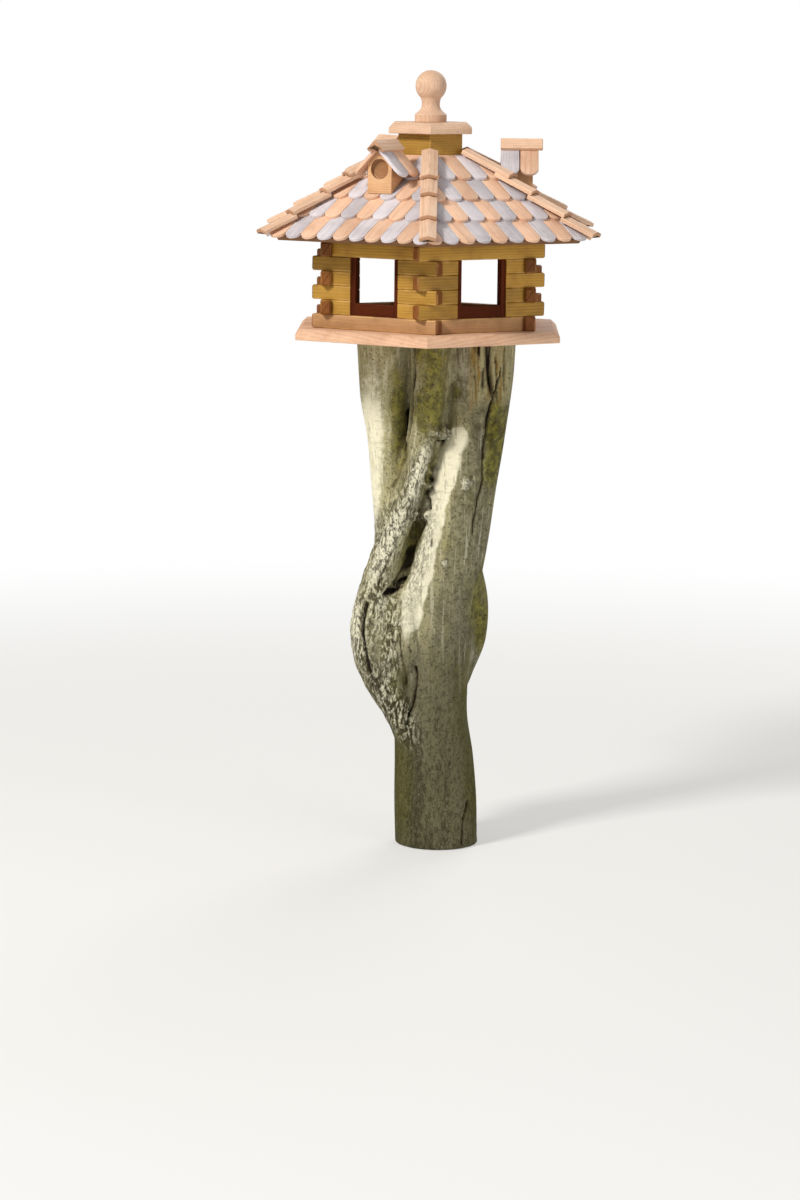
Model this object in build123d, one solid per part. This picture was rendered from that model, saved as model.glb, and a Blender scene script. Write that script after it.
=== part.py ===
from build123d import *

import math
import os

# Hexagonal log-cabin bird feeder with a beaver-tail shingle roof, on a dead tree trunk.
# Millimetres. Z is up, and the origin is on the ground under the middle of the feeder.
# Azimuths are in degrees from +X towards +Y. The front corner of the hexagon is at 270.

# Clearances between pieces that seat on each other
seat_gap = 0.2
shingle_gap = 0.15
log_joint = 0.2

# Trunk
trunk_height = 870.0
# Each station of a limb is its height as a share of the trunk's, then the middle of the
# section in X and Y, and its half width in X and in Y.
stem_stations = [
    (0.00, 24, 0, 71, 66),
    (0.09, 22, 0, 71, 64),
    (0.18, 18, 1, 67, 60),
    (0.26, 11, 2, 62, 57),
    (0.36, 14, 4, 63, 56),
    (0.48, 20, 6, 68, 56),
    (0.58, 37, 6, 66, 55),
    (0.69, 55, 4, 61, 52),
    (0.81, 80, 2, 52, 50),
    (0.91, 90, 0, 53, 52),
    (1.00, 93, 0, 54, 54),
]
strand_stations = [
    (0.20, -24, -18, 20, 26),
    (0.26, -42, -20, 26, 34),
    (0.31, -63, -18, 35, 40),
    (0.37, -84, -12, 36, 44),
    (0.44, -87, -8, 38, 44),
    (0.52, -78, -12, 31, 40),
    (0.62, -53, -20, 26, 36),
    (0.72, -24, -22, 28, 33),
    (0.82, -2, -20, 30, 36),
    (0.92, 6, -16, 35, 44),
    (1.00, 8, -14, 38, 48),
]
left_stem_stations = [
    (0.50, -60, 6, 34, 38),
    (0.60, -55, 10, 32, 36),
    (0.70, -62, 10, 31, 36),
    (0.80, -67, 10, 34, 38),
    (0.88, -72, 8, 41, 42),
    (1.00, -71, 6, 49, 48),
]
rear_stem_stations = [
    (0.44, -22, 20, 34, 26),
    (0.60, -10, 24, 34, 27),
    (0.75, 0, 27, 36, 28),
    (0.88, 6, 28, 38, 30),
    (1.00, 8, 28, 40, 32),
]
rear_lobe_stations = [
    (0.27, 34, 18, 24, 26),
    (0.34, 54, 30, 30, 30),
    (0.40, 67, 34, 36, 32),
    (0.48, 69, 34, 38, 33),
    (0.56, 58, 28, 34, 30),
    (0.62, 48, 20, 28, 26),
]
limb_sides = 12

# Base board
board_corner_radius = 250.0
board_thickness = 18.0
board_bevel = 8.5

# Log walls
wall_centre = 167.0
log_thickness = 18.0
log_height = 23.6
log_courses = 8
log_past_corner = 23.5
log_eased_edge = 2.2
log_end_chamfer = 3.0

# Windows, one in the middle of each wall
window_width = 90.0
window_first_course = 1
window_course_count = 4
frame_jamb = 8.0
frame_sill = 20.0
frame_depth = 12.0
frame_set_back = 3.0
frame_fit = 0.2

# Roof panels
roof_pitch = 32.6
panel_thickness = 8.0
panel_edge = 248.0
panel_mitre_gap = 0.2

# Shingles, with the distance of each row's tips from the middle
shingle_thickness = 5.0
shingle_width = 29.4
shingle_pitch = 30.0
shingle_eave_row_tip = 265.0
shingle_second_row_tip = 216.5
shingle_third_row_tip = 170.0
shingle_top_row_tip = 121.5
shingle_head_step = 49.8
shingle_tail_flats = 8
shingle_hip_gap = 0.4
shingle_least_sliver = 6.0

# Hip caps, with the distance of each one's tip from the middle
hip_cap_width = 27.4
hip_cap_thickness = 6.5
hip_cap_eave_tip = 314.0
hip_cap_second_tip = 261.0
hip_cap_third_tip = 200.0
hip_cap_top_tip = 158.0
hip_cap_head_step = 62.0

# Lantern, its cap plate and the turned finial
lantern_corner_radius = 60.8
lantern_below_roof = 3.0
lantern_rise = 38.6
cap_plate_corner_radius = 79.0
cap_plate_thickness = 18.0
cap_plate_bevel = 9.0
finial_ring_radius = 26.4
finial_ring_height = 13.0
finial_shoulder_height = 4.2
finial_shoulder_radius = 20.4
finial_neck_radius = 14.8
finial_neck_height = 28.8
finial_ball_radius = 25.7
finial_ball_height = 59.0
finial_ball_join_angle = -48.0
finial_cove_depth = 0.75

# Dormers
dormer_width = 45.0
dormer_depth = 50.0
dormer_ridge_rise = 120.7
dormer_shingle_width = 30.0
dormer_shingle_space = 2.0
dormer_shingle_length = 59.0
dormer_shingle_from_ridge = 3.0
dormer_shingle_overhang = 9.0
dormer_cap_leg = 22.0
dormer_cap_thickness = 6.5
dormer_cap_length = 69.5
dormer_cap_overhang = 16.0
recess_radius = 16.5
recess_depth = 7.0
recess_below_ridge = 48.0
# Distance of the dormers' front walls from the middle of the feeder
left_dormer_wall = 161.0
right_dormer_wall = 170.0

# Walls and roof faces by the azimuth they face
faces = {
    "right": 0,
    "back_right": 60,
    "back_left": 120,
    "left": 180,
    "front_left": 240,
    "front_right": 300,
}
# Roof hips by the azimuth of their corner
hips = {
    "right_rear": 30,
    "rear": 90,
    "left_rear": 150,
    "left_front": 210,
    "front": 270,
    "right_front": 330,
}

# Faces whose windows have a frame. The two at the back are bare openings.
framed_faces = ("right", "left", "front_left", "front_right")

# Faces that carry a dormer, and how far out its front wall stands
dormer_walls = {
    "front_left": left_dormer_wall,
    "right": right_dormer_wall,
    "back_left": left_dormer_wall,
}

# Worked out from the sizes above
shingle_row_tips = [
    shingle_eave_row_tip,
    shingle_second_row_tip,
    shingle_third_row_tip,
    shingle_top_row_tip,
]
hip_cap_tips = [hip_cap_eave_tip, hip_cap_second_tip, hip_cap_third_tip, hip_cap_top_tip]
half_corner = math.tan(math.radians(30))
corner_cos = math.cos(math.radians(30))
board_top = trunk_height + board_thickness
wall_top = board_top + log_courses * log_height
wall_outer = wall_centre + log_thickness / 2
wall_inner = wall_centre - log_thickness / 2
pitch_tan = math.tan(math.radians(roof_pitch))
pitch_cos = math.cos(math.radians(roof_pitch))
pitch_sin = math.sin(math.radians(roof_pitch))
panel_under_at_wall = wall_top + seat_gap
lantern_face = lantern_corner_radius * corner_cos
dormer_ridge = wall_top + dormer_ridge_rise


def panel_under(distance):
    """Height of the roof panels' underside at a distance from the middle."""
    return panel_under_at_wall + (wall_outer - distance) * pitch_tan


def panel_top(distance):
    """Height of the roof panels' upper face at a distance from the middle."""
    return panel_under(distance) + panel_thickness / pitch_cos


lantern_top = panel_top(lantern_face) + lantern_rise
cap_plate_top = lantern_top + cap_plate_thickness + seat_gap


def hexagon(corner_radius):
    """Flat hexagon with a corner at azimuth 30."""
    corners = [Vector(corner_radius, 0).rotate(Axis.Z, 30 + 60 * k) for k in range(6)]
    return Polygon(*[(corner.X, corner.Y) for corner in corners], align=None)


def corner_wedge(apex, reach, bottom, top):
    """Block in plan between the two hip planes, with its apex moved outwards."""
    side = (reach - apex) * half_corner
    plan = Polygon((apex, 0), (reach, -side), (reach, side), align=None)
    return Pos(0, 0, bottom) * extrude(plan, top - bottom)


def keep_below(shape, origin, normal):
    """The part of a shape on the near side of a plane."""
    return split(shape, bisect_by=Plane(origin=origin, z_dir=normal), keep=Keep.BOTTOM)


def limb(stations):
    """One limb of the trunk, lofted through its stations."""
    sections = []
    for share, x, y, half_x, half_y in stations:
        points = []
        for k in range(limb_sides):
            angle = 2 * math.pi * k / limb_sides
            points.append((half_x * math.cos(angle), half_y * math.sin(angle)))
        sections.append(Pos(x, y, share * trunk_height) * Polygon(*points, align=None))
    return loft(sections, ruled=True)


def make_trunk():
    """Dead trunk that forks into four stems, cut flat at the foot and under the board."""
    trunk = limb(stem_stations) + limb(strand_stations)
    for stations in (left_stem_stations, rear_stem_stations, rear_lobe_stations):
        trunk = trunk + limb(stations)
    return trunk


def make_board():
    """Hexagonal base board with its upper edge bevelled."""
    board = Pos(0, 0, trunk_height) * extrude(hexagon(board_corner_radius), board_thickness)
    return chamfer(board.faces().sort_by(Axis.Z)[-1].edges(), board_bevel)


def log_bar(start, end, course, chamfered_ends):
    """Straight log of one course, lying along Y on the wall whose outer side is +X."""
    bottom = board_top + course * log_height + log_joint
    height = log_height - log_joint
    bar = Pos(wall_centre, (start + end) / 2, bottom + height / 2) * Box(
        log_thickness, end - start, height
    )
    bar = chamfer(bar.edges().filter_by(Axis.Y), log_eased_edge)
    for face in chamfered_ends:
        end_face = bar.faces().sort_by(Axis.Y)[face]
        bar = chamfer(end_face.edges(), log_end_chamfer)
    return bar


def trim_at_neighbour(bar, distance):
    """Cut a log where the walls on both sides of it stand."""
    for turn in (-60, 60):
        normal = Vector(1, 0, 0).rotate(Axis.Z, turn)
        bar = keep_below(bar, normal * distance, normal)
    return bar


def make_wall(azimuth):
    """The logs of one wall, with the window's courses in two lengths."""
    long_half = wall_centre * half_corner + log_past_corner
    runs_long_on_even = azimuth % 120 == 0
    window_courses = range(window_first_course, window_first_course + window_course_count)
    logs = []
    for course in range(log_courses):
        is_long = (course % 2 == 0) == runs_long_on_even
        is_top = course == log_courses - 1
        past_corner = is_long and not is_top
        ends = (0, -1) if past_corner else ()
        if course in window_courses:
            half_gap = window_width / 2
            pieces = [
                log_bar(-long_half, -half_gap, course, ends[:1]),
                log_bar(half_gap, long_half, course, ends[1:]),
            ]
        else:
            pieces = [log_bar(-long_half, long_half, course, ends)]
        for piece in pieces:
            if is_top and is_long:
                piece = trim_at_neighbour(piece, wall_outer)
            elif not is_long:
                piece = trim_at_neighbour(piece, wall_inner - log_joint)
            logs.append(Rot(0, 0, azimuth) * piece)
    return Compound(children=logs)


def make_window_frame(azimuth):
    """Sill board and two jambs, in one piece, open at the top."""
    bottom = board_top + window_first_course * log_height + frame_fit
    height = window_course_count * log_height + log_joint - 2 * frame_fit
    width = window_width - 2 * frame_fit
    middle = wall_outer - frame_set_back - frame_depth / 2
    board = Box(frame_depth, width, height, align=(Align.CENTER, Align.CENTER, Align.MIN))
    opening = Pos(0, 0, frame_sill) * Box(
        2 * frame_depth,
        width - 2 * frame_jamb,
        height,
        align=(Align.CENTER, Align.CENTER, Align.MIN),
    )
    return Rot(0, 0, azimuth) * Pos(middle, 0, bottom) * (board - opening)


def make_roof_panel(azimuth):
    """Roof board of one face, mitred at the hips and butted on the lantern."""
    inner = lantern_face + seat_gap
    lower_x = panel_edge - panel_thickness * pitch_sin
    outline = Polygon(
        (inner, panel_under(inner)),
        (lower_x, panel_under(lower_x)),
        (panel_edge, panel_top(panel_edge)),
        (inner, panel_top(inner)),
        align=None,
    )
    half_length = panel_edge * half_corner
    slab = extrude(Plane.XZ * outline, half_length, both=True)
    wedge = corner_wedge(panel_mitre_gap, 2 * panel_edge, board_top, lantern_top)
    return Rot(0, 0, azimuth) * (slab & wedge)


def shingle_tilt():
    """Angle by which each shingle leans off the panel, so that the rows lie on each other."""
    step_on_slope = shingle_head_step / pitch_cos
    return math.asin((shingle_thickness + shingle_gap) / step_on_slope)


def tail_outline(length, width):
    """Shingle seen from above, with its head on Y and a rounded tail at +X."""
    radius = width / 2
    points = [(0, radius), (0, -radius)]
    for k in range(shingle_tail_flats + 1):
        angle = math.radians(-90 + 180 * k / shingle_tail_flats)
        points.append((length - radius + radius * math.cos(angle), radius * math.sin(angle)))
    return Polygon(*points, align=None)


def row_head(row):
    """Distance from the middle of the feeder to the heads of one row of shingles."""
    steps = len(shingle_row_tips) - 1 - row
    return lantern_face + seat_gap + steps * shingle_head_step


def row_shingles(row, tan_colour):
    """Shingles of one row and one colour on the face whose outer side is +X."""
    slope = math.radians(roof_pitch) - shingle_tilt()
    head = row_head(row)
    tip = shingle_row_tips[row]
    length = (tip - head - shingle_thickness * math.sin(slope)) / math.cos(slope)
    stagger = 0.5 if row % 2 == 0 else 0.0
    widest = (tip - shingle_width / 4) * half_corner
    reach = math.ceil(widest / shingle_pitch)
    seat = Plane(
        origin=(head, 0, panel_top(head) + shingle_gap),
        x_dir=(math.cos(slope), 0, -math.sin(slope)),
        z_dir=(math.sin(slope), 0, math.cos(slope)),
    )
    near = head * half_corner - shingle_hip_gap
    far = (head + length * math.cos(slope)) * half_corner - shingle_hip_gap
    hip_limits = Polygon((0, -near), (length, -far), (length, far), (0, near), align=None)
    shingles = []
    for column in range(-reach, reach + 1):
        middle = (column + stagger) * shingle_pitch
        inner_edge = abs(middle) - shingle_width / 2
        is_tan = column % 2 == (1 if row % 2 == 0 else 0)
        if is_tan != tan_colour or inner_edge + shingle_least_sliver > widest:
            continue
        outline = (Pos(0, middle) * tail_outline(length, shingle_width)) & hip_limits
        shingles.append(extrude(seat * outline, shingle_thickness))
    return shingles


def tail_rise(row):
    """Height of a row's tail tips over the panel, measured straight up."""
    slope = math.radians(roof_pitch) - shingle_tilt()
    head = row_head(row)
    tip = shingle_row_tips[row]
    run = tip - head - shingle_thickness * math.sin(slope)
    top = panel_top(head) + shingle_gap - run * math.tan(slope)
    return top + shingle_thickness * math.cos(slope) - panel_top(tip)


def roof_rise():
    """Height over the panels of a plane that clears every shingle of the roof."""
    return max(tail_rise(row) for row in range(len(shingle_row_tips))) + seat_gap


def dormer_peak():
    """Height of the line where the undersides of a dormer's shingles would meet."""
    cap_under = dormer_ridge - dormer_cap_thickness * math.sqrt(2)
    return cap_under - (shingle_thickness + 2 * seat_gap) * math.sqrt(2)


def dormer_shingle(side, place, wall):
    """One shingle of a dormer, on side -1 or +1, at place 0 in front or 1 behind it."""
    front = wall + dormer_shingle_overhang
    middle = front - dormer_shingle_width / 2
    middle = middle - place * (dormer_shingle_width + dormer_shingle_space)
    down = Vector(0, side, -1).normalized()
    outward = Vector(0, side, 1).normalized()
    start = Vector(middle, 0, dormer_peak()) + down * dormer_shingle_from_ridge
    seat = Plane(origin=start + outward * seat_gap, x_dir=down, z_dir=outward)
    outline = tail_outline(dormer_shingle_length, dormer_shingle_width)
    return extrude(seat * outline, shingle_thickness)


def make_shingles(face, tan_colour):
    """All shingles of one colour on one roof face and on the dormer that stands there."""
    shingles = []
    for row in range(len(shingle_row_tips)):
        shingles.extend(row_shingles(row, tan_colour))
    if face in dormer_walls:
        wall = dormer_walls[face]
        for side, place in ((-1, 0), (-1, 1), (1, 0), (1, 1)):
            is_tan = (side < 0) == (place == 0)
            if is_tan == tan_colour:
                shingles.append(dormer_shingle(side, place, wall))
    return Compound(children=[Rot(0, 0, faces[face]) * shingle for shingle in shingles])


def hip_line(distance):
    """Height of the panels along a hip at a distance from the middle."""
    return panel_top(distance * corner_cos)


def make_hip_caps(azimuth):
    """Shallow V boards that cover one hip, each lapped over the one below it."""
    slope_tan = pitch_tan * corner_cos
    leg_drop = pitch_tan * math.sin(math.radians(30)) * math.cos(math.atan(slope_tan))
    leg_slope = math.atan(leg_drop)
    upright = hip_cap_thickness / math.cos(leg_slope)
    cap_rise = upright / math.cos(math.atan(slope_tan)) + seat_gap
    half = hip_cap_width / 2
    drop = half * leg_drop
    section = Polygon(
        (-half, -drop),
        (0, 0),
        (half, -drop),
        (half, upright - drop),
        (0, upright),
        (-half, upright - drop),
        align=None,
    )
    caps = []
    for place, tip in enumerate(hip_cap_tips):
        steps = len(hip_cap_tips) - 1 - place
        head = lantern_corner_radius + seat_gap + upright + steps * hip_cap_head_step
        tail_lift = cap_rise * (tip - head) / hip_cap_head_step
        start = Vector(head, 0, hip_line(head) + roof_rise())
        end = Vector(tip, 0, hip_line(tip) + roof_rise() + tail_lift)
        along = end - start
        seat = Plane(origin=start, x_dir=(0, 1, 0), z_dir=along)
        caps.append(Rot(0, 0, azimuth) * extrude(seat * section, along.length))
    return Compound(children=caps)


def make_lantern():
    """Hexagonal block that the roof panels butt against."""
    bottom = panel_under(lantern_face) - lantern_below_roof
    return Pos(0, 0, bottom) * extrude(hexagon(lantern_corner_radius), lantern_top - bottom)


def make_cap_plate():
    """Hexagonal plate on the lantern with its upper edge bevelled."""
    plate = extrude(hexagon(cap_plate_corner_radius), cap_plate_thickness)
    plate = chamfer(plate.faces().sort_by(Axis.Z)[-1].edges(), cap_plate_bevel)
    return Pos(0, 0, lantern_top + seat_gap) * plate


def make_finial():
    """Turned ring, neck and ball."""
    ring_top = finial_ring_height
    shoulder_top = ring_top + finial_shoulder_height
    ball_join = math.radians(finial_ball_join_angle)
    join_x = finial_ball_radius * math.cos(ball_join)
    join_z = finial_ball_height + finial_ball_radius * math.sin(ball_join)
    top = finial_ball_height + finial_ball_radius
    cove_x = finial_shoulder_radius * (1 - finial_cove_depth) + finial_neck_radius * finial_cove_depth
    cove_z = (shoulder_top + finial_neck_height) / 2
    neck_x = join_x * (1 - finial_cove_depth) + finial_neck_radius * finial_cove_depth
    neck_z = (finial_neck_height + join_z) / 2
    outline = [
        Line((0, 0), (finial_ring_radius, 0)),
        Line((finial_ring_radius, 0), (finial_ring_radius, ring_top)),
        Line((finial_ring_radius, ring_top), (finial_shoulder_radius, shoulder_top)),
        ThreePointArc(
            (finial_shoulder_radius, shoulder_top),
            (cove_x, cove_z),
            (finial_neck_radius, finial_neck_height),
        ),
        ThreePointArc(
            (finial_neck_radius, finial_neck_height),
            (neck_x, neck_z),
            (join_x, join_z),
        ),
        ThreePointArc(
            (join_x, join_z),
            (finial_ball_radius * corner_cos, finial_ball_height + finial_ball_radius / 2),
            (0, top),
        ),
        Line((0, top), (0, 0)),
    ]
    profile = make_face(Plane.XZ * Wire(outline))
    return Pos(0, 0, cap_plate_top + seat_gap) * revolve(profile, Axis.Z)


def make_dormer(azimuth, wall):
    """Solid dormer block with a gable, a blind round recess and its foot cut to the roof."""
    peak = dormer_peak()
    half = dormer_width / 2
    eaves = peak - half
    low = panel_top(wall)
    gable = Polygon((-half, low), (half, low), (half, eaves), (0, peak), (-half, eaves), align=None)
    seat = Plane(origin=(wall - dormer_depth, 0, 0), x_dir=(0, 1, 0), z_dir=(1, 0, 0))
    block = extrude(seat * gable, dormer_depth)
    foot = Vector(wall, 0, panel_top(wall) + roof_rise())
    block = keep_below(block, foot, Vector(-pitch_sin, 0, -pitch_cos))
    recess = Cylinder(recess_radius, 2 * recess_depth, rotation=(0, 90, 0))
    block = block - Pos(wall, 0, dormer_ridge - recess_below_ridge) * recess
    return Rot(0, 0, azimuth) * block


def make_dormer_ridge_cap(azimuth, wall):
    """Right-angled V board along a dormer's ridge."""
    reach = dormer_cap_leg / math.sqrt(2)
    edge = dormer_cap_thickness / math.sqrt(2)
    inner = dormer_cap_thickness * math.sqrt(2)
    section = Polygon(
        (0, 0),
        (-reach, -reach),
        (edge - reach, -reach - edge),
        (0, -inner),
        (reach - edge, -reach - edge),
        (reach, -reach),
        align=None,
    )
    front = wall + dormer_cap_overhang
    seat = Plane(
        origin=(front - dormer_cap_length, 0, dormer_ridge),
        x_dir=(0, 1, 0),
        z_dir=(1, 0, 0),
    )
    return Rot(0, 0, azimuth) * extrude(seat * section, dormer_cap_length)


def main():
    """Build every piece and write one file for each."""
    nodes = {
        "trunk": make_trunk(),
        "base_board": make_board(),
        "lantern": make_lantern(),
        "cap_plate": make_cap_plate(),
        "finial": make_finial(),
    }
    for face, azimuth in faces.items():
        nodes[face + "_wall"] = make_wall(azimuth)
        nodes[face + "_roof_panel"] = make_roof_panel(azimuth)
        nodes[face + "_tan_shingles"] = make_shingles(face, True)
        nodes[face + "_grey_shingles"] = make_shingles(face, False)
    for face in framed_faces:
        nodes[face + "_window_frame"] = make_window_frame(faces[face])
    for hip, azimuth in hips.items():
        nodes[hip + "_hip_caps"] = make_hip_caps(azimuth)
    for face, wall in dormer_walls.items():
        nodes[face + "_dormer"] = make_dormer(faces[face], wall)
        nodes[face + "_dormer_ridge_cap"] = make_dormer_ridge_cap(faces[face], wall)
    os.makedirs("parts", exist_ok=True)
    for name, shape in nodes.items():
        export_step(shape, "parts/" + name + ".step")


main()
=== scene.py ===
"""Looks of a log-cabin bird feeder on a dead tree trunk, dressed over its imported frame.

Every length is in metres and every piece stands where the frame has its node. Faces of the
hexagon are built in a frame of their own, with the outer side at +X and Y along the face, and are
then turned by their azimuth.
"""
from __future__ import annotations

import logging
import math
import random
from collections.abc import Sequence
from dataclasses import astuple, dataclass, field
from enum import Enum

import bmesh
import bpy
import numpy as np
from mathutils import Matrix, Vector, noise

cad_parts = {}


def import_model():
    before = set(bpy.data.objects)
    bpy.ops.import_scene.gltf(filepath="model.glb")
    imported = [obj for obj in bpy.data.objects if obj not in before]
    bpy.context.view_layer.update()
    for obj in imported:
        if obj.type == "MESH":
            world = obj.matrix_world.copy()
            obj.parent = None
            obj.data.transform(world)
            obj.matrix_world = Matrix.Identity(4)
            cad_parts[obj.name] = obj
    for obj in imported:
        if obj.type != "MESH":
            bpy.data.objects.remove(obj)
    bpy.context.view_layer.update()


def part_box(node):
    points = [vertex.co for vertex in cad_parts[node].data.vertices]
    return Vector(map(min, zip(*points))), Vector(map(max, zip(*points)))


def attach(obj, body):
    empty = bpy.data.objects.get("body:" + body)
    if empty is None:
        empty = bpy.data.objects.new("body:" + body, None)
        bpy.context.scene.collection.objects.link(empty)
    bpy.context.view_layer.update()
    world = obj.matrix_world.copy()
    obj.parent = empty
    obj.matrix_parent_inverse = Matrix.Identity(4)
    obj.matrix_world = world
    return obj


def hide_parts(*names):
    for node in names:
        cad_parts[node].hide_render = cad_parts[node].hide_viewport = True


LOG = logging.getLogger("bird_feeder")
MM = 0.001
BODY = "root"
TAN_30 = math.tan(math.radians(30))
COS_30 = math.cos(math.radians(30))
ROOT_2 = math.sqrt(2)

Colour = tuple[float, float, float, float]
Place = tuple[float, float]
Point = tuple[float, float, float]
Outline = list[Place]
Route = tuple[Place, ...]
Link = bpy.types.NodeSocket
Term = Link | float | str | Sequence[float]

WHITE = (1.0, 1.0, 1.0, 1.0)


def paint(red: int, green: int, blue: int) -> Colour:
    """Linear colour of a paint in screen values.

    Args:
        red: Red from 0 to 255.
        green: Green.
        blue: Blue.

    Returns:
        Red, green, blue and alpha as the shader wants them.
    """
    linear = []
    for value in (red, green, blue):
        share = value / 255
        linear.append(share / 12.92 if share <= 0.04045 else ((share + 0.055) / 1.055) ** 2.4)
    return (linear[0], linear[1], linear[2], 1.0)


def spin(degrees: float, axis: str = "Z") -> Matrix:
    """Turn about an axis."""
    return Matrix.Rotation(math.radians(degrees), 4, axis)


def stand(start: Vector, x_axis: Vector, y_axis: Vector, z_axis: Vector) -> Matrix:
    """Place with its origin and its axes given."""
    return Matrix.Translation(start) @ Matrix((x_axis, y_axis, z_axis)).transposed().to_4x4()


class Azimuth(Enum):
    """A way round the house, in degrees from +X towards +Y."""

    @property
    def node(self) -> str:
        """Start of the names of the nodes that look this way."""
        return self.name.lower()

    @property
    def turn(self) -> Matrix:
        """Turn that brings a piece from its own frame to this azimuth."""
        return spin(self.value)


class Face(Azimuth):
    """The six faces of the feeder, by the azimuth that they look to."""

    RIGHT = 0
    BACK_RIGHT = 60
    BACK_LEFT = 120
    LEFT = 180
    FRONT_LEFT = 240
    FRONT_RIGHT = 300

    @property
    def shade(self) -> float:
        """Small difference of tone from face to face."""
        return self.value / 900


class Hip(Azimuth):
    """The six hips of the roof, by the azimuth of their corner."""

    RIGHT_REAR = 30
    REAR = 90
    LEFT_REAR = 150
    LEFT_FRONT = 210
    FRONT = 270
    RIGHT_FRONT = 330


class Mark(Enum):
    """Names of the mesh attributes that the finishes read."""

    GRAIN = "grain"
    TONE = "tone"
    WORN = "worn"
    END_CUT = "end_cut"
    # Painted shade in cracks, creases and torn gaps, which also holds the dark rings and eyes of knots.
    CREVICE = "crevice"
    BARK = "bark"
    BARE = "bare"
    MOSS = "moss"
    # Pale wood that bleaching left, together with painted sunlight on the lit side of the stems.
    PALE = "pale"
    # Painted shade on the shaded side of the stems.
    DUSK = "dusk"


class Board:
    """A node tree that is being laid out."""

    def __init__(self, tree: bpy.types.NodeTree) -> None:
        """Take over a tree and clear it."""
        self.tree = tree
        tree.nodes.clear()

    def node(
        self, kind: str, inputs: dict[str | int, Term] | None = None, **settings: object
    ) -> bpy.types.Node:
        """Add one node.

        Args:
            kind: The node's type.
            inputs: Values or sockets for its inputs, by name or place.
            settings: Properties of the node.

        Returns:
            The new node.
        """
        made = self.tree.nodes.new(kind)
        for name, value in settings.items():
            setattr(made, name, value)
        for key, value in (inputs or {}).items():
            if isinstance(value, Link):
                self.tree.links.new(value, made.inputs[key])
            else:
                made.inputs[key].default_value = value
        return made

    def first(self, kind: str, inputs: dict[str | int, Term] | None = None, **settings: object) -> Link:
        """First output of a new node."""
        return self.node(kind, inputs, **settings).outputs[0]

    def math(self, operation: str, *terms: Term) -> Link:
        """Result of a math node on one to three terms."""
        return self.first("ShaderNodeMath", dict(enumerate(terms)), operation=operation)

    def times(self, value: Term, amount: Term) -> Link:
        """Product of two values."""
        return self.math("MULTIPLY", value, amount)

    def times_plus(self, value: Term, amount: Term, more: Term) -> Link:
        """Product of two values, and a third added."""
        return self.math("MULTIPLY_ADD", value, amount, more)

    def vector(self, operation: str, *terms: Term) -> Link:
        """Vector that a vector math node makes of its terms."""
        return self.first("ShaderNodeVectorMath", dict(enumerate(terms)), operation=operation)

    def length(self, vector: Link) -> Link:
        """Length of a vector."""
        return self.node("ShaderNodeVectorMath", {0: vector}, operation="LENGTH").outputs["Value"]

    def xyz(self, x: Term = 0.0, y: Term = 0.0, z: Term = 0.0) -> Link:
        """Vector of three values."""
        return self.first("ShaderNodeCombineXYZ", {0: x, 1: y, 2: z})

    def ramp(
        self, value: Link, low: float, high: float, to_low: float = 0.0, to_high: float = 1.0
    ) -> Link:
        """Smooth step of a value from one range to another."""
        inputs = {"Value": value, "From Min": low, "From Max": high, "To Min": to_low, "To Max": to_high}
        return self.first("ShaderNodeMapRange", inputs, interpolation_type="SMOOTHSTEP")

    def mix(self, share: Term, below: Term, above: Term, blend: str = "MIX") -> Link:
        """Colour above laid over the colour below, by its share."""
        inputs = {0: share, 6: below, 7: above}
        return self.node("ShaderNodeMix", inputs, data_type="RGBA", blend_type=blend).outputs[2]

    def noise(
        self, place: Link, scale: float, detail: float = 2.0, rough: float = 0.5,
        stretch: Point | None = None,
    ) -> Link:
        """Value of a noise texture.

        Args:
            place: Where it is read.
            scale: Its size, as lumps to the metre.
            detail: How many finer layers it has.
            rough: How strong they are.
            stretch: Factors on the place first, less than 1 where the lumps are long.

        Returns:
            The value.
        """
        where = self.vector("MULTIPLY", place, stretch) if stretch else place
        inputs = {"Vector": where, "Scale": scale, "Detail": detail, "Roughness": rough}
        return self.node("ShaderNodeTexNoise", inputs).outputs["Fac"]

    def place(self) -> Link:
        """Place on the piece, in metres."""
        return self.node("ShaderNodeTexCoord").outputs["Object"]

    def mark(self, mark: Mark, output: str = "Fac") -> Link:
        """One mark of the mesh."""
        return self.node("ShaderNodeAttribute", attribute_name=mark.value).outputs[output]

    def group(self, tree: bpy.types.NodeTree, values: dict[str, float]) -> bpy.types.Node:
        """Place a shared group with its own values."""
        return self.node("ShaderNodeGroup", values, node_tree=tree)

    def surface(self, colour: Link, rough: Link, gloss: float, bump: dict[str, Term]) -> None:
        """End a material with its shader.

        Args:
            colour: Its colour.
            rough: Its roughness.
            gloss: Its specular level.
            bump: Strength, distance and height of its relief.
        """
        inputs = {
            "Base Color": colour,
            "Roughness": rough,
            "Normal": self.first("ShaderNodeBump", bump),
            "Specular IOR Level": gloss,
        }
        shader = self.first("ShaderNodeBsdfPrincipled", inputs)
        self.node("ShaderNodeOutputMaterial", {"Surface": shader})

    def close(self, results: dict[str, Link]) -> None:
        """Link results to the group's outputs by name."""
        self.node("NodeGroupOutput", results)


def open_material(name: str) -> tuple[bpy.types.Material, Board]:
    """Start a material.

    Args:
        name: Its name.

    Returns:
        The material and the board of its nodes.
    """
    material = bpy.data.materials.new(name)
    material.use_nodes = True
    return material, Board(material.node_tree)


@dataclass(frozen=True)
class Socket:
    """One input or output of a node group."""

    name: str
    kind: str = "NodeSocketFloat"
    value: float | None = None


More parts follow.
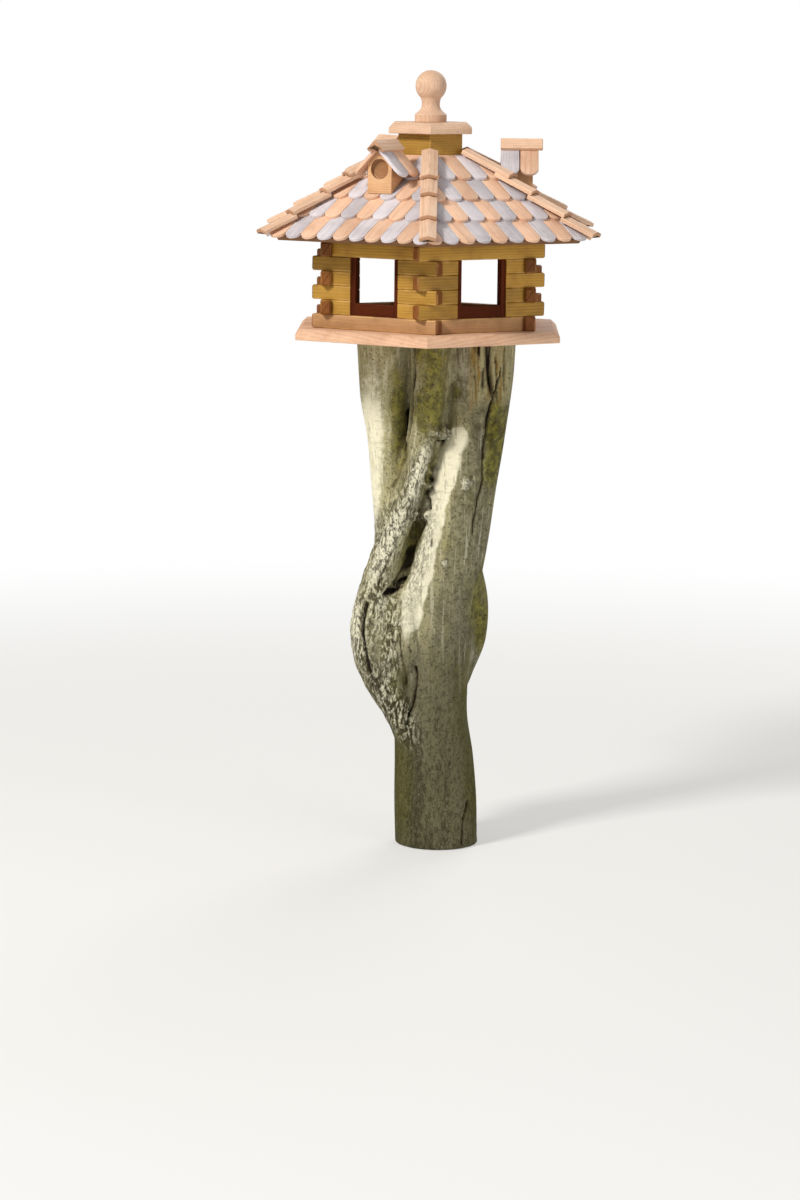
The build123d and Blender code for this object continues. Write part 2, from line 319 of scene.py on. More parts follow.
def open_group(
    name: str, inputs: Sequence[Socket], outputs: Sequence[Socket], kind: str = "ShaderNodeTree"
) -> tuple[Board, dict[str, Link]]:
    """Start a node group with named sockets.

    Args:
        name: Name of the group.
        inputs: What it takes.
        outputs: What it gives.
        kind: Type of its tree.

    Returns:
        The board to build on and the inputs by name.
    """
    tree = bpy.data.node_groups.new(name, kind)
    for in_out, sockets in (("INPUT", inputs), ("OUTPUT", outputs)):
        for socket in sockets:
            made = tree.interface.new_socket(name=socket.name, in_out=in_out, socket_type=socket.kind)
            if socket.value is not None:
                made.default_value = socket.value
    board = Board(tree)
    start = board.node("NodeGroupInput")
    return board, {socket.name: start.outputs[socket.name] for socket in inputs}


class SharedEffects:
    """Node groups that several finishes use, each built once."""

    def __init__(self) -> None:
        """Build every group."""
        self.figure = self._wood_figure()
        self.weather = self._weathering()
        self.wear = self._edge_wear()

    @staticmethod
    def _wood_figure() -> bpy.types.NodeTree:
        """Growth rings, fibres and tone of a sawn piece, read along its own grain.

        Returns:
            The group, with the late wood, the fibre, the tone and the height as outputs.
        """
        inputs = [Socket("Ring Spacing", value=4 * MM), Socket("Waviness", value=4 * MM)]
        outputs = [Socket("Late Wood"), Socket("Fibre"), Socket("Tone"), Socket("Height")]
        board, given = open_group("Wood Figure", inputs, outputs)
        tone = board.mark(Mark.TONE)
        along = board.times(tone, 7.3)
        across = board.times_plus(board.math("SINE", board.times(tone, 47.0)), 0.05, 0.02)
        shift = board.xyz(along, across, board.times_plus(tone, 0.09, 0.03))
        place = board.vector("ADD", board.mark(Mark.GRAIN, "Vector"), shift)
        sway = board.math("SUBTRACT", board.noise(place, 1.0, 2.0, stretch=(5.0, 40.0, 40.0)), 0.5)
        radius = board.length(board.vector("MULTIPLY", place, (0.0, 1.0, 1.0)))
        swayed = board.times_plus(sway, given["Waviness"], radius)
        ring = board.math("FRACT", board.math("DIVIDE", swayed, given["Ring Spacing"]))
        band = board.times(board.ramp(ring, 0.35, 0.85), board.ramp(ring, 0.88, 1.0, 1.0, 0.0))
        uneven = board.noise(place, 1.0, 1.0, stretch=(3.0, 120.0, 120.0))
        late = board.times(band, board.ramp(uneven, 0.25, 0.7, 0.25, 1.0))
        fibre = board.noise(place, 1.0, 3.0, 0.6, stretch=(28.0, 900.0, 900.0))
        height = board.times_plus(late, 0.5, fibre)
        board.close({"Late Wood": late, "Fibre": fibre, "Tone": tone, "Height": height})
        return board.tree

    @staticmethod
    def _weathering() -> bpy.types.NodeTree:
        """Blotches of weathering and dirt in space.

        Returns:
            The group, with the stain as output.
        """
        inputs = [Socket("Blotch Size", value=50 * MM), Socket("Amount", value=0.5)]
        board, given = open_group("Weathering", inputs, [Socket("Stain")])
        scaled = board.vector("DIVIDE", board.place(), given["Blotch Size"])
        blotch = board.ramp(board.noise(scaled, 1.0, 4.0, 0.62), 0.42, 0.72)
        board.close({"Stain": board.times(blotch, given["Amount"])})
        return board.tree

    @staticmethod
    def _edge_wear() -> bpy.types.NodeTree:
        """Wear along the eased edges of a piece, broken up so that it comes and goes.

        Returns:
            The group, with the wear mask as output.
        """
        inputs = [Socket("Strength", value=0.6), Socket("Run Length", value=30 * MM)]
        board, given = open_group("Edge Wear", inputs, [Socket("Wear")])
        runs = board.noise(board.vector("DIVIDE", board.place(), given["Run Length"]), 1.0, 3.0)
        wear = board.times(board.mark(Mark.WORN), board.ramp(runs, 0.38, 0.62))
        board.close({"Wear": board.times(wear, given["Strength"])})
        return board.tree


@dataclass(frozen=True)
class WoodFinish:
    """Finish of a sawn or turned piece of wood."""

    slot: str
    early: Colour
    late: Colour
    end_grain: Colour
    worn: Colour
    grime: Colour
    bare: Colour = paint(216, 164, 122)
    figure: float = 0.6
    ring_spacing: float = 3.5 * MM
    tone_range: float = 0.28
    wear: float = 0.5
    grime_amount: float = 0.25
    roughness: float = 0.62
    gloss: float = 0.35
    relief: float = 0.35
    relief_depth: float = 0.6 * MM

    def build(self, effects: SharedEffects) -> bpy.types.Material:
        """Make the material.

        Args:
            effects: The shared node groups.

        Returns:
            The finished material.
        """
        material, board = open_material(self.slot)
        figure = board.group(effects.figure, {"Ring Spacing": self.ring_spacing}).outputs
        stain = board.group(effects.weather, {"Amount": self.grime_amount}).outputs["Stain"]
        wear = board.group(effects.wear, {"Strength": self.wear}).outputs["Wear"]
        colour = board.mix(board.times(figure["Late Wood"], self.figure), self.early, self.late)
        colour = board.mix(board.times(board.mark(Mark.BARE), 0.7), colour, self.bare)
        colour = board.mix(board.times(board.mark(Mark.END_CUT), 0.85), colour, self.end_grain)
        tone = board.ramp(figure["Tone"], 0.0, 1.0, 1.0 - self.tone_range, 1.0)
        light = board.times(tone, board.ramp(figure["Fibre"], 0.3, 0.7, 0.86, 1.06))
        grey = board.first("ShaderNodeCombineColor", {0: light, 1: light, 2: light})
        colour = board.mix(1.0, colour, grey, "MULTIPLY")
        colour = board.mix(wear, colour, self.worn)
        colour = board.mix(stain, colour, self.grime, "MULTIPLY")
        rough = board.ramp(figure["Fibre"], 0.2, 0.8, self.roughness - 0.08, self.roughness + 0.1)
        bump = {"Strength": self.relief, "Distance": self.relief_depth, "Height": figure["Height"]}
        board.surface(colour, rough, self.gloss, bump)
        return material


@dataclass(frozen=True)
class BarkFinish:
    """Finish of the dead trunk, with bare pale wood, algae, rough bark and cracks, and with painted shade
    and painted sunlight on the stems.
    """

    slot: str = "weathered_bark"
    cream: Colour = paint(174, 167, 126)
    # Pale colour of wood that bleaching left, also used as painted sunlight.
    bleached: Colour = paint(236, 230, 202)
    grey: Colour = paint(126, 120, 96)
    # Colour of the painted shade on the shaded side of the stems.
    dusk: Colour = paint(84, 81, 60)
    algae: Colour = paint(136, 129, 46)
    deep_algae: Colour = paint(80, 75, 22)
    lichen: Colour = paint(226, 221, 194)
    rough_bark: Colour = paint(60, 53, 36)
    # Darker colours of the foot, partly its own and partly painted shade.
    foot: Colour = paint(48, 45, 22)
    foot_light: Colour = paint(96, 92, 66)
    split_wood: Colour = paint(146, 118, 58)
    # Colours of the painted shade in cracks, creases and gaps.
    crevice: Colour = paint(66, 52, 18)
    crack: Colour = paint(30, 21, 12)
    relief_depth: float = 2.6 * MM

    def build(self, effects: SharedEffects) -> bpy.types.Material:
        """Make the material.

        Args:
            effects: The shared node groups, which bark has no use for.

        Returns:
            The finished material.
        """
        material, board = open_material(self.slot)
        place = board.place()
        mottle = board.noise(place, 85.0, 5.0, 0.68)
        streak = board.noise(place, 150.0, 5.0, 0.62, stretch=(1.0, 1.0, 0.05))
        blotch = board.noise(place, 15.0, 5.0, 0.6, stretch=(1.0, 1.0, 0.3))
        ripple = board.noise(place, 62.0, 3.0, 0.6, stretch=(0.5, 0.5, 2.6))
        colour = board.mix(board.ramp(blotch, 0.34, 0.62), self.grey, self.cream)
        # Painted sunlight and pale weathered wood: this mark lightens the bark towards the pale colour.
        light = board.times_plus(board.mark(Mark.PALE), 0.6, mottle)
        colour = board.mix(board.ramp(light, 0.54, 1.0, 0.0, 0.95), colour, self.bleached)
        colour = board.mix(board.ramp(ripple, 0.52, 0.7, 0.0, 0.22), colour, self.grey)
        # Painted shade: this mark darkens the shaded side of the stems towards a dark grey.
        dusk = board.mix(board.ramp(mottle, 0.4, 0.6), self.dusk, self.grey)
        colour = board.mix(board.times(board.mark(Mark.DUSK), 0.8), colour, dusk)
        colour = board.mix(board.ramp(streak, 0.57, 0.66, 0.0, 0.4), colour, self.rough_bark)
        colour = board.mix(board.ramp(streak, 0.36, 0.44, 0.3, 0.0), colour, self.bleached)
        patch = board.noise(place, 26.0, 6.0, 0.68, stretch=(1.0, 1.0, 0.4))
        green = board.times_plus(board.mark(Mark.MOSS), 0.36, patch)
        shade = board.mix(board.ramp(mottle, 0.4, 0.62), self.deep_algae, self.algae)
        colour = board.mix(board.ramp(green, 0.5, 0.88, 0.0, 0.85), colour, shade)
        colour = self._foot(board, colour, place, mottle)
        pits, chips = self._bark_parts(board, place)
        bark = board.mark(Mark.BARK)
        pitted = board.times(bark, pits)
        colour = board.mix(board.times(board.times(bark, chips), 0.8), colour, self.lichen)
        colour = board.mix(board.times(pitted, 0.82), colour, self.rough_bark)
        wood = board.mix(board.ramp(streak, 0.4, 0.54), self.split_wood, self.cream)
        colour = board.mix(board.times(board.mark(Mark.BARE), 0.9), colour, wood)
        specks = board.ramp(board.noise(place, 260.0, 4.0, 0.78), 0.54, 0.66, 0.0, 0.55)
        specks = board.times(specks, board.ramp(board.mark(Mark.PALE), 0.0, 0.7, 1.0, 0.3))
        colour = board.mix(specks, colour, self.rough_bark)
        # Painted shade in cracks, creases and gaps, and the dark rings of knots.
        crevice = board.mark(Mark.CREVICE)
        deep = board.mix(board.ramp(crevice, 0.55, 0.95), self.crevice, self.crack)
        colour = board.mix(crevice, colour, deep)
        relief = board.times_plus(streak, 0.7, board.times(mottle, 0.9))
        relief = board.times_plus(pitted, -2.2, relief)
        relief = board.times_plus(specks, -0.9, relief)
        relief = board.times_plus(board.noise(place, 520.0, 3.0, 0.65), 0.35, relief)
        bump = {"Strength": 0.9, "Distance": self.relief_depth, "Height": relief}
        board.surface(colour, board.ramp(mottle, 0.3, 0.7, 0.78, 0.95), 0.2, bump)
        return material

    def _foot(self, board: Board, colour: Link, place: Link, mottle: Link) -> Link:
        """Colour with the darker, speckled foot below it, whose darkness is partly painted shade.

        Args:
            board: The material's board.
            colour: The colour so far.
            place: Place on the trunk.
            mottle: Noise in small blots.

        Returns:
            The colour.
        """
        height = board.node("ShaderNodeSeparateXYZ", {0: place}).outputs[2]
        low = board.ramp(height, 0.04, 0.50, 1.0, 0.0)
        share = board.ramp(board.times_plus(mottle, 0.9, low), 0.45, 1.25, 0.0, 0.92)
        fine = board.noise(place, 190.0, 4.0, 0.75, stretch=(1.0, 1.0, 0.4))
        broad = board.noise(place, 22.0, 4.0, 0.6, stretch=(1.0, 1.0, 0.12))
        patch = board.times_plus(broad, 0.7, board.times(fine, 1.1))
        dark = board.mix(board.ramp(patch, 0.76, 1.06), self.foot, self.foot_light)
        dark = board.mix(board.times(board.mark(Mark.MOSS), 0.55), dark, self.deep_algae)
        return board.mix(share, colour, dark)

    @staticmethod
    def _bark_parts(board: Board, place: Link) -> tuple[Link, Link]:
        """Masks of the rough bark.

        Args:
            board: The material's board.
            place: Place on the trunk.

        Returns:
            The dark pits and the light chips.
        """
        drawn = board.vector("MULTIPLY", place, (1.0, 1.0, 0.42))
        bent = board.node("ShaderNodeTexNoise", {"Vector": drawn, "Scale": 60.0}).outputs["Color"]
        moved = board.vector("ADD", drawn, board.vector("MULTIPLY", bent, (0.014, 0.014, 0.014)))
        large = board.noise(moved, 190.0, 4.0, 0.7)
        small = board.ramp(board.noise(moved, 420.0, 3.0, 0.7), 0.56, 0.63, 0.0, 0.8)
        pits = board.math("MAXIMUM", board.ramp(large, 0.53, 0.6), small)
        return pits, board.ramp(large, 0.4, 0.52, 1.0, 0.0)


class Finish(Enum):
    """The finishes of the feeder."""

    LOG = WoodFinish(
        "log_stain", paint(200, 152, 58), paint(152, 100, 28), end_grain=paint(138, 70, 16),
        worn=paint(222, 178, 104), grime=paint(150, 122, 84),
        figure=0.5, ring_spacing=4.2 * MM, tone_range=0.3, grime_amount=0.35,
    )
    PINE = WoodFinish(
        "pale_pine", paint(234, 196, 165), paint(208, 160, 126), end_grain=paint(190, 142, 106),
        worn=paint(248, 220, 190), grime=paint(190, 156, 122),
        ring_spacing=3.4 * MM, tone_range=0.16, wear=0.45,
    )
    BASE = WoodFinish(
        "base_board_wood", paint(230, 187, 153), paint(200, 149, 114), end_grain=paint(188, 136, 100),
        worn=paint(242, 202, 168), grime=paint(176, 132, 98),
        figure=0.55, ring_spacing=5.2 * MM, tone_range=0.1, wear=0.45, grime_amount=0.3,
    )
    MAHOGANY = WoodFinish(
        "dark_mahogany", paint(92, 37, 10), paint(54, 20, 4), end_grain=paint(46, 17, 4),
        worn=paint(118, 58, 26), grime=paint(120, 96, 70),
        ring_spacing=2.6 * MM, tone_range=0.2, wear=0.55, roughness=0.6, gloss=0.08,
    )
    # Its darker brown is painted shade on the panel edges under the tails.
    PANEL = WoodFinish(
        "roof_panel_wood", paint(150, 104, 64), paint(120, 78, 44), end_grain=paint(112, 72, 40),
        worn=paint(176, 134, 92), grime=paint(140, 110, 82),
    )
    TAN = WoodFinish(
        "tan_shingle", paint(240, 197, 165), paint(212, 160, 127), end_grain=paint(188, 134, 99),
        worn=paint(248, 220, 188), grime=paint(184, 148, 114),
        figure=0.45, ring_spacing=3.0 * MM, tone_range=0.2, grime_amount=0.3,
    )
    GREY = WoodFinish(
        "grey_shingle", paint(223, 215, 218), paint(190, 181, 186), end_grain=paint(152, 141, 146),
        worn=paint(240, 232, 230), grime=paint(176, 164, 162),
        figure=0.5, ring_spacing=2.6 * MM, tone_range=0.24, grime_amount=0.35,
    )
    # Its dark end grain also serves as painted shade inside the round recess.
    DORMER = WoodFinish(
        "dormer_wood", paint(220, 174, 128), paint(194, 141, 94), end_grain=paint(144, 96, 54),
        worn=paint(242, 206, 162), grime=paint(176, 136, 92),
        figure=0.55, ring_spacing=3.6 * MM, tone_range=0.1, wear=0.45,
    )
    BARK = BarkFinish()


class FinishRack:
    """The materials, each made once."""

    def __init__(self) -> None:
        """Build the shared effects and every material."""
        effects = SharedEffects()
        self.ready = {finish: finish.value.build(effects) for finish in Finish}

    def dress(self, mesh: bpy.types.Mesh, finish: Finish) -> None:
        """Give a whole mesh one finish."""
        mesh.materials.clear()
        mesh.materials.append(self.ready[finish])


def hand_over(piece: bpy.types.Object, finish: Finish, *nodes: str) -> None:
    """Tell the frame what a finished piece rides on and replaces.

    Args:
        piece: The finished piece.
        finish: Its finish, which is not used.
        nodes: The frame's nodes that it stands for.
    """
    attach(piece, BODY)
    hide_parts(*nodes)
    LOG.info("%s stands for %s, %d faces", piece.name, ", ".join(nodes), len(piece.data.polygons))


def show(name: str, data: bpy.types.ID) -> bpy.types.Object:
    """Put a mesh, a lamp or a camera in the scene as an object at the origin.

    Args:
        name: Name of the object.
        data: What it shows.

    Returns:
        The object.
    """
    piece = bpy.data.objects.new(name, data)
    bpy.context.scene.collection.objects.link(piece)
    return piece


def bake(piece: bpy.types.Object) -> None:
    """Swap a piece's modifiers for the mesh that they make.

    Args:
        piece: Object with modifiers, which then has none.
    """
    graph = bpy.context.evaluated_depsgraph_get()
    graph.update()
    mesh = bpy.data.meshes.new_from_object(piece.evaluated_get(graph), depsgraph=graph)
    piece.modifiers.clear()
    piece.data = mesh


def soften(mesh: bpy.types.Mesh, angle: float = 38.0) -> None:
    """Shade a mesh smooth except over its sharp edges.

    Args:
        mesh: The mesh.
        angle: Angle in degrees from which an edge is sharp.
    """
    mesh.update()
    mesh.shade_smooth()
    mesh.set_sharp_from_angle(angle=math.radians(angle))


def write_marks(mesh: bpy.types.Mesh, marks: dict[Mark, list]) -> None:
    """Store the marks of a timber mesh as attributes.

    Args:
        mesh: The mesh.
        marks: Values by mark: the grain, the tone and the bare share for each point, the rest
            for each face.
    """
    grain = mesh.attributes.new(Mark.GRAIN.value, "FLOAT_VECTOR", "POINT")
    grain.data.foreach_set("vector", [axis for point in marks[Mark.GRAIN] for axis in point])
    for domain, names in (("POINT", (Mark.TONE, Mark.BARE)), ("FACE", (Mark.WORN, Mark.END_CUT))):
        for mark in names:
            stored = mesh.attributes.new(mark.value, "FLOAT", domain)
            stored.data.foreach_set("value", marks[mark])


def on_circle(radius: float, turn: float) -> Place:
    """Point on a circle at a turn in radians."""
    return (radius * math.cos(turn), radius * math.sin(turn))


def hexagon(corner_radius: float) -> Outline:
    """Corners of a flat hexagon, the first at azimuth 30."""
    return [on_circle(corner_radius, math.radians(30 + 60 * corner)) for corner in range(6)]


def rectangle(across: float, up: float) -> Outline:
    """Corners of a rectangle about the middle."""
    return [(-across / 2, -up / 2), (across / 2, -up / 2), (across / 2, up / 2), (-across / 2, up / 2)]


def eased_outline(corners: Outline, ease: float, steps: int = 3) -> tuple[Outline, list[bool]]:
    """Outline with its corners rounded.

    Args:
        corners: The corners in order.
        ease: Length taken from each side of a corner.
        steps: Flats to a rounded corner.

    Returns:
        The points, and for each point whether the side that starts there is part of a rounding.
    """
    points: Outline = []
    rounded: list[bool] = []
    for index, corner in enumerate(corners):
        here = Vector(corner)
        before = Vector(corners[index - 1]) - here
        after = Vector(corners[(index + 1) % len(corners)]) - here
        reach = min(ease, 0.45 * before.length, 0.45 * after.length)
        start = here + before.normalized() * reach
        end = here + after.normalized() * reach
        for step in range(steps + 1):
            share = step / steps
            point = start * (1 - share) ** 2 + here * (2 * share * (1 - share)) + end * share**2
            points.append((point.x, point.y))
            rounded.append(step < steps)
    return points, rounded


def inset(points: Outline, distance: float) -> Outline:
    """Outline moved inwards, for one that runs against the clock from above.

    Args:
        points: The outline.
        distance: How far in.

    Returns:
        As many points, each moved along the mean of its sides' normals.
    """
    moved: Outline = []
    for index, point in enumerate(points):
        here = Vector(point)
        before = (here - Vector(points[index - 1])).normalized()
        after = (Vector(points[(index + 1) % len(points)]) - here).normalized()
        inwards = Vector((-after.y, after.x))
        normal = Vector((-before.y - after.y, before.x + after.x))
        if normal.length < 1e-9:
            normal = inwards.copy()
        normal.normalize()
        here = here + normal * (distance / max(0.5, normal.dot(inwards)))
        moved.append((here.x, here.y))
    return moved


@dataclass
class Timber:
    """One piece of wood as a closed skin in its own frame, with its marks."""

    points: list[Vector] = field(default_factory=list)
    faces: list[tuple[int, ...]] = field(default_factory=list)
    worn: list[float] = field(default_factory=list)
    end_cut: list[float] = field(default_factory=list)

    @classmethod
    def from_rings(
        cls,
        rings: Sequence[Sequence[Vector]],
        worn_bands: Sequence[int],
        rounded: Sequence[bool] | None = None,
        ends_are_cut: bool = False,
    ) -> Timber:
        """Skin through rings of points, closed at both ends.

        Args:
            rings: The rings, all with the same number of points.
            worn_bands: Places of the bands between rings that are eased edges.
            rounded: For each point, whether the side that starts there is a rounding.
            ends_are_cut: Whether the closing faces and the bands next to them show end grain.

        Returns:
            The timber.
        """
        made = cls()
        count = len(rings[0])
        for ring in rings:
            made.points.extend(ring)
        for band in range(len(rings) - 1):
            eased = band in worn_bands
            for side in range(count):
                low = band * count + side
                low_next = band * count + (side + 1) % count
                made.faces.append((low, low_next, low_next + count, low + count))
                worn = 1.0 if eased or (rounded and rounded[side]) else 0.0
                made.worn.append(0.4 if eased and ends_are_cut else worn)
                made.end_cut.append(1.0 if eased and ends_are_cut else 0.0)
        last = (len(rings) - 1) * count
        made.faces.append(tuple(reversed(range(count))))
        made.faces.append(tuple(range(last, last + count)))
        made.worn.extend((0.0, 0.0))
        made.end_cut.extend([1.0 if ends_are_cut else 0.0] * 2)
        return made


def bar(
    corners: Outline,
    length: float,
    ease: float,
    end_ease: Place,
    slants: Place = (0.0, 0.0),
    stations: int = 2,
) -> Timber:
    """Straight bar along X with rounded long edges and eased ends.

    Args:
        corners: Section in Y and Z, against the clock when seen from +X.
        length: Length of the bar, from 0.
        ease: Rounding of the long edges.
        end_ease: Chamfer at the start and at the end.
        slants: How far the start and the end go along X for each metre along Y.
        stations: Rings along the plain length.

    Returns:
        The bar.
    """
    section, rounded = eased_outline(corners, ease)
    start_ease, finish_ease = end_ease
    places = [(0.0, start_ease), (start_ease, 0.0)]
    for step in range(1, stations):
        along = start_ease + (length - start_ease - finish_ease) * (step / stations)
        places.append((along, 0.0))
    places.extend(((length - finish_ease, 0.0), (length, finish_ease)))
    rings = []
    for along, inwards in places:
        share = along / length
        slant = slants[0] * (1 - share) + slants[1] * share
        ring = inset(section, inwards) if inwards else section
        rings.append([Vector((along + slant * across, across, up)) for across, up in ring])
    return Timber.from_rings(rings, (0, len(rings) - 2), rounded, ends_are_cut=True)


class Joinery:
    """Timbers that are put together as one piece."""

    def __init__(self, name: str, seed: int) -> None:
        """Start an empty piece.

        Args:
            name: Name of the piece.
            seed: Seed of the timbers' tones.
        """
        self.name = name
        self.chance = random.Random(seed)
        self.points: list[Vector] = []
        self.faces: list[tuple[int, ...]] = []
        self.marks: dict[Mark, list] = {mark: [] for mark in Mark}

    def add(
        self, timber: Timber, place: Matrix | None = None, grain: Matrix | None = None, bare: float = 0.0
    ) -> None:
        """Set one timber in its place.

        Args:
            timber: The timber in its own frame.
            place: Where it goes, or else as it lies.
            grain: Turn from its own frame to one with the grain along X.
            bare: How far its wood was left without stain, from 0 to 1.
        """
        first = len(self.points)
        count = len(timber.points)
        tone = self.chance.random()
        still = Matrix.Identity(4)
        self.points.extend((place or still) @ point for point in timber.points)
        self.faces.extend(tuple(first + corner for corner in face) for face in timber.faces)
        self.marks[Mark.GRAIN].extend((grain or still) @ point for point in timber.points)
        self.marks[Mark.TONE].extend([tone] * count)
        self.marks[Mark.BARE].extend([bare] * count)
        self.marks[Mark.WORN].extend(timber.worn)
        self.marks[Mark.END_CUT].extend(timber.end_cut)

    def skin(self) -> bpy.types.Mesh:
        """Plain mesh of all timbers.

        Returns:
            The mesh, without marks or a material.
        """
        mesh = bpy.data.meshes.new(self.name)
        mesh.from_pydata([tuple(point) for point in self.points], [], self.faces)
        return mesh

    def mesh(self) -> bpy.types.Mesh:
        """Mesh of all timbers, with their marks.

        Returns:
            The mesh, without a material.
        """
        mesh = self.skin()
        write_marks(mesh, self.marks)
        soften(mesh)
        return mesh

    def deliver(self, rack: FinishRack, finish: Finish, node: str) -> None:
        """Make the piece and hand it over.

        Args:
            rack: The finishes.
            finish: Its finish.
            node: The frame's node that it stands for.
        """
        mesh = self.mesh()
        rack.dress(mesh, finish)
        hand_over(show(self.name, mesh), finish, node)


@dataclass
class Assembly:
    """Part of the feeder that dresses its own nodes."""

    rack: FinishRack


@dataclass(frozen=True)
class Lamp:
    """Square lamp of the studio, by its place, its side, its power in watts and its colour."""

    name: str
    place: Point
    side: float
    power: float
    colour: Point

    def build(self, aim: Vector) -> None:
        """Hang the lamp.

        Args:
            aim: Where it shines to.
        """
        lamp = bpy.data.lights.new(self.name, "AREA")
        lamp.size = self.side
        lamp.energy = self.power
        lamp.color = self.colour
        holder = show(self.name, lamp)
        holder.location = self.place
        holder.rotation_euler = (aim - Vector(self.place)).to_track_quat("-Z", "Y").to_euler()


@dataclass
class Studio:
    """Floor, light and camera."""

    camera_distance: float = 5.5
    camera_height: float = 1.3666
    camera_pitch: float = 9.769
    camera_yaw: float = -0.442
    camera_roll: float = 0.6
    object_turn: float = -0.474
    focal_pixels: float = 3292.66
    frame_height: float = 1200.0
    sensor: float = 36.0
    floor_radius: float = 12.0
    floor_sides: int = 64
    floor_colour: Colour = paint(236, 235, 232)
    fade_start: float = 0.9
    fade_end: float = 3.2
    floor_glow: float = 0.45
    sky_light: float = 0.36
    lamp_aim: Point = (0.0, 0.0, 0.8)
    lamps: tuple[Lamp, ...] = (
        Lamp("key", (-3.1, -2.9, 4.1), 1.0, 255.0, (1.0, 0.975, 0.94)),
        Lamp("fill", (3.6, -3.4, 1.2), 2.6, 56.0, (0.96, 0.98, 1.0)),
        Lamp("rear", (1.2, 3.2, 3.2), 2.0, 60.0, (1.0, 1.0, 1.0)),
    )

    def build(self) -> None:
        """Set up the whole studio."""
        bpy.context.scene.view_settings.view_transform = "Standard"
        self._floor()
        self._sky()
        for lamp in self.lamps:
            lamp.build(Vector(self.lamp_aim))
        self._camera()

    def _floor(self) -> None:
        """Round floor that fades into the white background."""
        sides = range(self.floor_sides)
        corners = [on_circle(self.floor_radius, 2 * math.pi * side / len(sides)) for side in sides]
        mesh = bpy.data.meshes.new("floor")
        mesh.from_pydata([(x, y, 0.0) for x, y in corners], [], [tuple(sides)])
        material, board = open_material("pale_floor")
        matt = {"Base Color": self.floor_colour, "Roughness": 0.9, "Specular IOR Level": 0.0}
        matt_floor = board.first("ShaderNodeBsdfPrincipled", matt)
        seen = board.node("ShaderNodeLightPath").outputs["Is Camera Ray"]
        far = board.ramp(board.length(board.place()), self.fade_start, self.fade_end)
        pale = board.mix(far, self.floor_colour, WHITE)
        glow = board.first("ShaderNodeEmission", {"Color": pale, "Strength": 1.0})
        share = board.times(seen, board.times_plus(far, 1.0 - self.floor_glow, self.floor_glow))
        mixed = board.first("ShaderNodeMixShader", {0: share, 1: matt_floor, 2: glow})
        board.node("ShaderNodeOutputMaterial", {"Surface": mixed})
        mesh.materials.append(material)
        show("floor", mesh)

    def _sky(self) -> None:
        """Even light from all round, white to the camera."""
        world = bpy.data.worlds.new("studio_sky")
        bpy.context.scene.world = world
        world.use_nodes = True
        board = Board(world.node_tree)
        seen = board.node("ShaderNodeLightPath").outputs["Is Camera Ray"]
        strength = board.times_plus(seen, 1.0 - self.sky_light, self.sky_light)
        sky = board.first("ShaderNodeBackground", {"Color": WHITE, "Strength": strength})
        board.node("ShaderNodeOutputWorld", {"Surface": sky})

    def _camera(self) -> None:
        """Camera where the photograph was taken from."""
        lens = bpy.data.cameras.new("camera")
        lens.sensor_fit = "VERTICAL"
        lens.sensor_height = self.sensor
        lens.lens = self.focal_pixels / self.frame_height * self.sensor
        holder = show("camera", lens)
        place = Matrix.Translation((0.0, -self.camera_distance, self.camera_height))
        aim = spin(-self.camera_yaw) @ spin(90 - self.camera_pitch, "X") @ spin(self.camera_roll)
        holder.matrix_world = spin(-self.object_turn) @ place @ aim
        bpy.context.scene.camera = holder


@dataclass
class LogWalls(Assembly):
    """Six walls of stacked logs whose ends pass each other at the corners."""

    centre: float = 167.0 * MM
    thickness: float = 18.0 * MM
    height: float = 23.6 * MM
    courses: int = 8
    past_corner: float = 23.5 * MM
    joint: float = 0.2 * MM
    play: float = 0.5 * MM
    ease: float = 2.4 * MM
    end_chamfer: float = 2.8 * MM
    corner_chamfer: float = 0.3 * MM
    window_chamfer: float = 0.4 * MM
    window_width: float = 90.0 * MM
    window_courses: tuple[int, ...] = (1, 2, 3, 4)

    @property
    def floor(self) -> float:
        """Height of the base board's upper face."""
        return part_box("base_board")[1].z

    def build(self) -> None:
        """Make and dress all walls."""
        for face in Face:
            wall = Joinery(face.node + "_logs", seed=face.value)
            for course in range(self.courses):
                self._course(wall, face, course)
            wall.deliver(self.rack, Finish.LOG, face.node + "_wall")

    def _course(self, wall: Joinery, face: Face, course: int) -> None:
        """Lay one course of a wall.

        Args:
            wall: The wall's joinery.
            face: Which face it is.
            course: Number of the course from the lowest.
        """
        is_long = (course % 2 == 0) == (face.value % 120 == 0)
        is_slanted = not is_long or course == self.courses - 1
        half = self.centre * TAN_30 + self.past_corner
        chamfer, slant = self.end_chamfer, 0.0
        if is_slanted:
            beside = self.thickness / 2 if is_long else -self.thickness / 2 - self.joint
            half = (self.centre * 0.5 + beside) / COS_30
            chamfer, slant = self.corner_chamfer, TAN_30
        runs = [(-half, half, (chamfer, chamfer), (-slant, slant))]
        if course in self.window_courses:
            gap, cut = self.window_width / 2, self.window_chamfer
            runs = [
                (-half, -gap, (chamfer, cut), (-slant, 0.0)),
                (gap, half, (cut, chamfer), (0.0, slant)),
            ]
        log_height = self.height - self.joint
        middle = self.floor + course * self.height + self.joint + log_height / 2
        section = rectangle(self.thickness, log_height)
        for start, end, chamfers, slants in runs:
            log = bar(section, end - start, self.ease, chamfers, slants, stations=6)
            wobble = (wall.chance.random() - 0.5) * self.play
            lie = Matrix.Translation((self.centre + wobble, start, middle)) @ spin(90)
            wall.add(log, face.turn @ lie, bare=1.0 if course == 0 else 0.0)


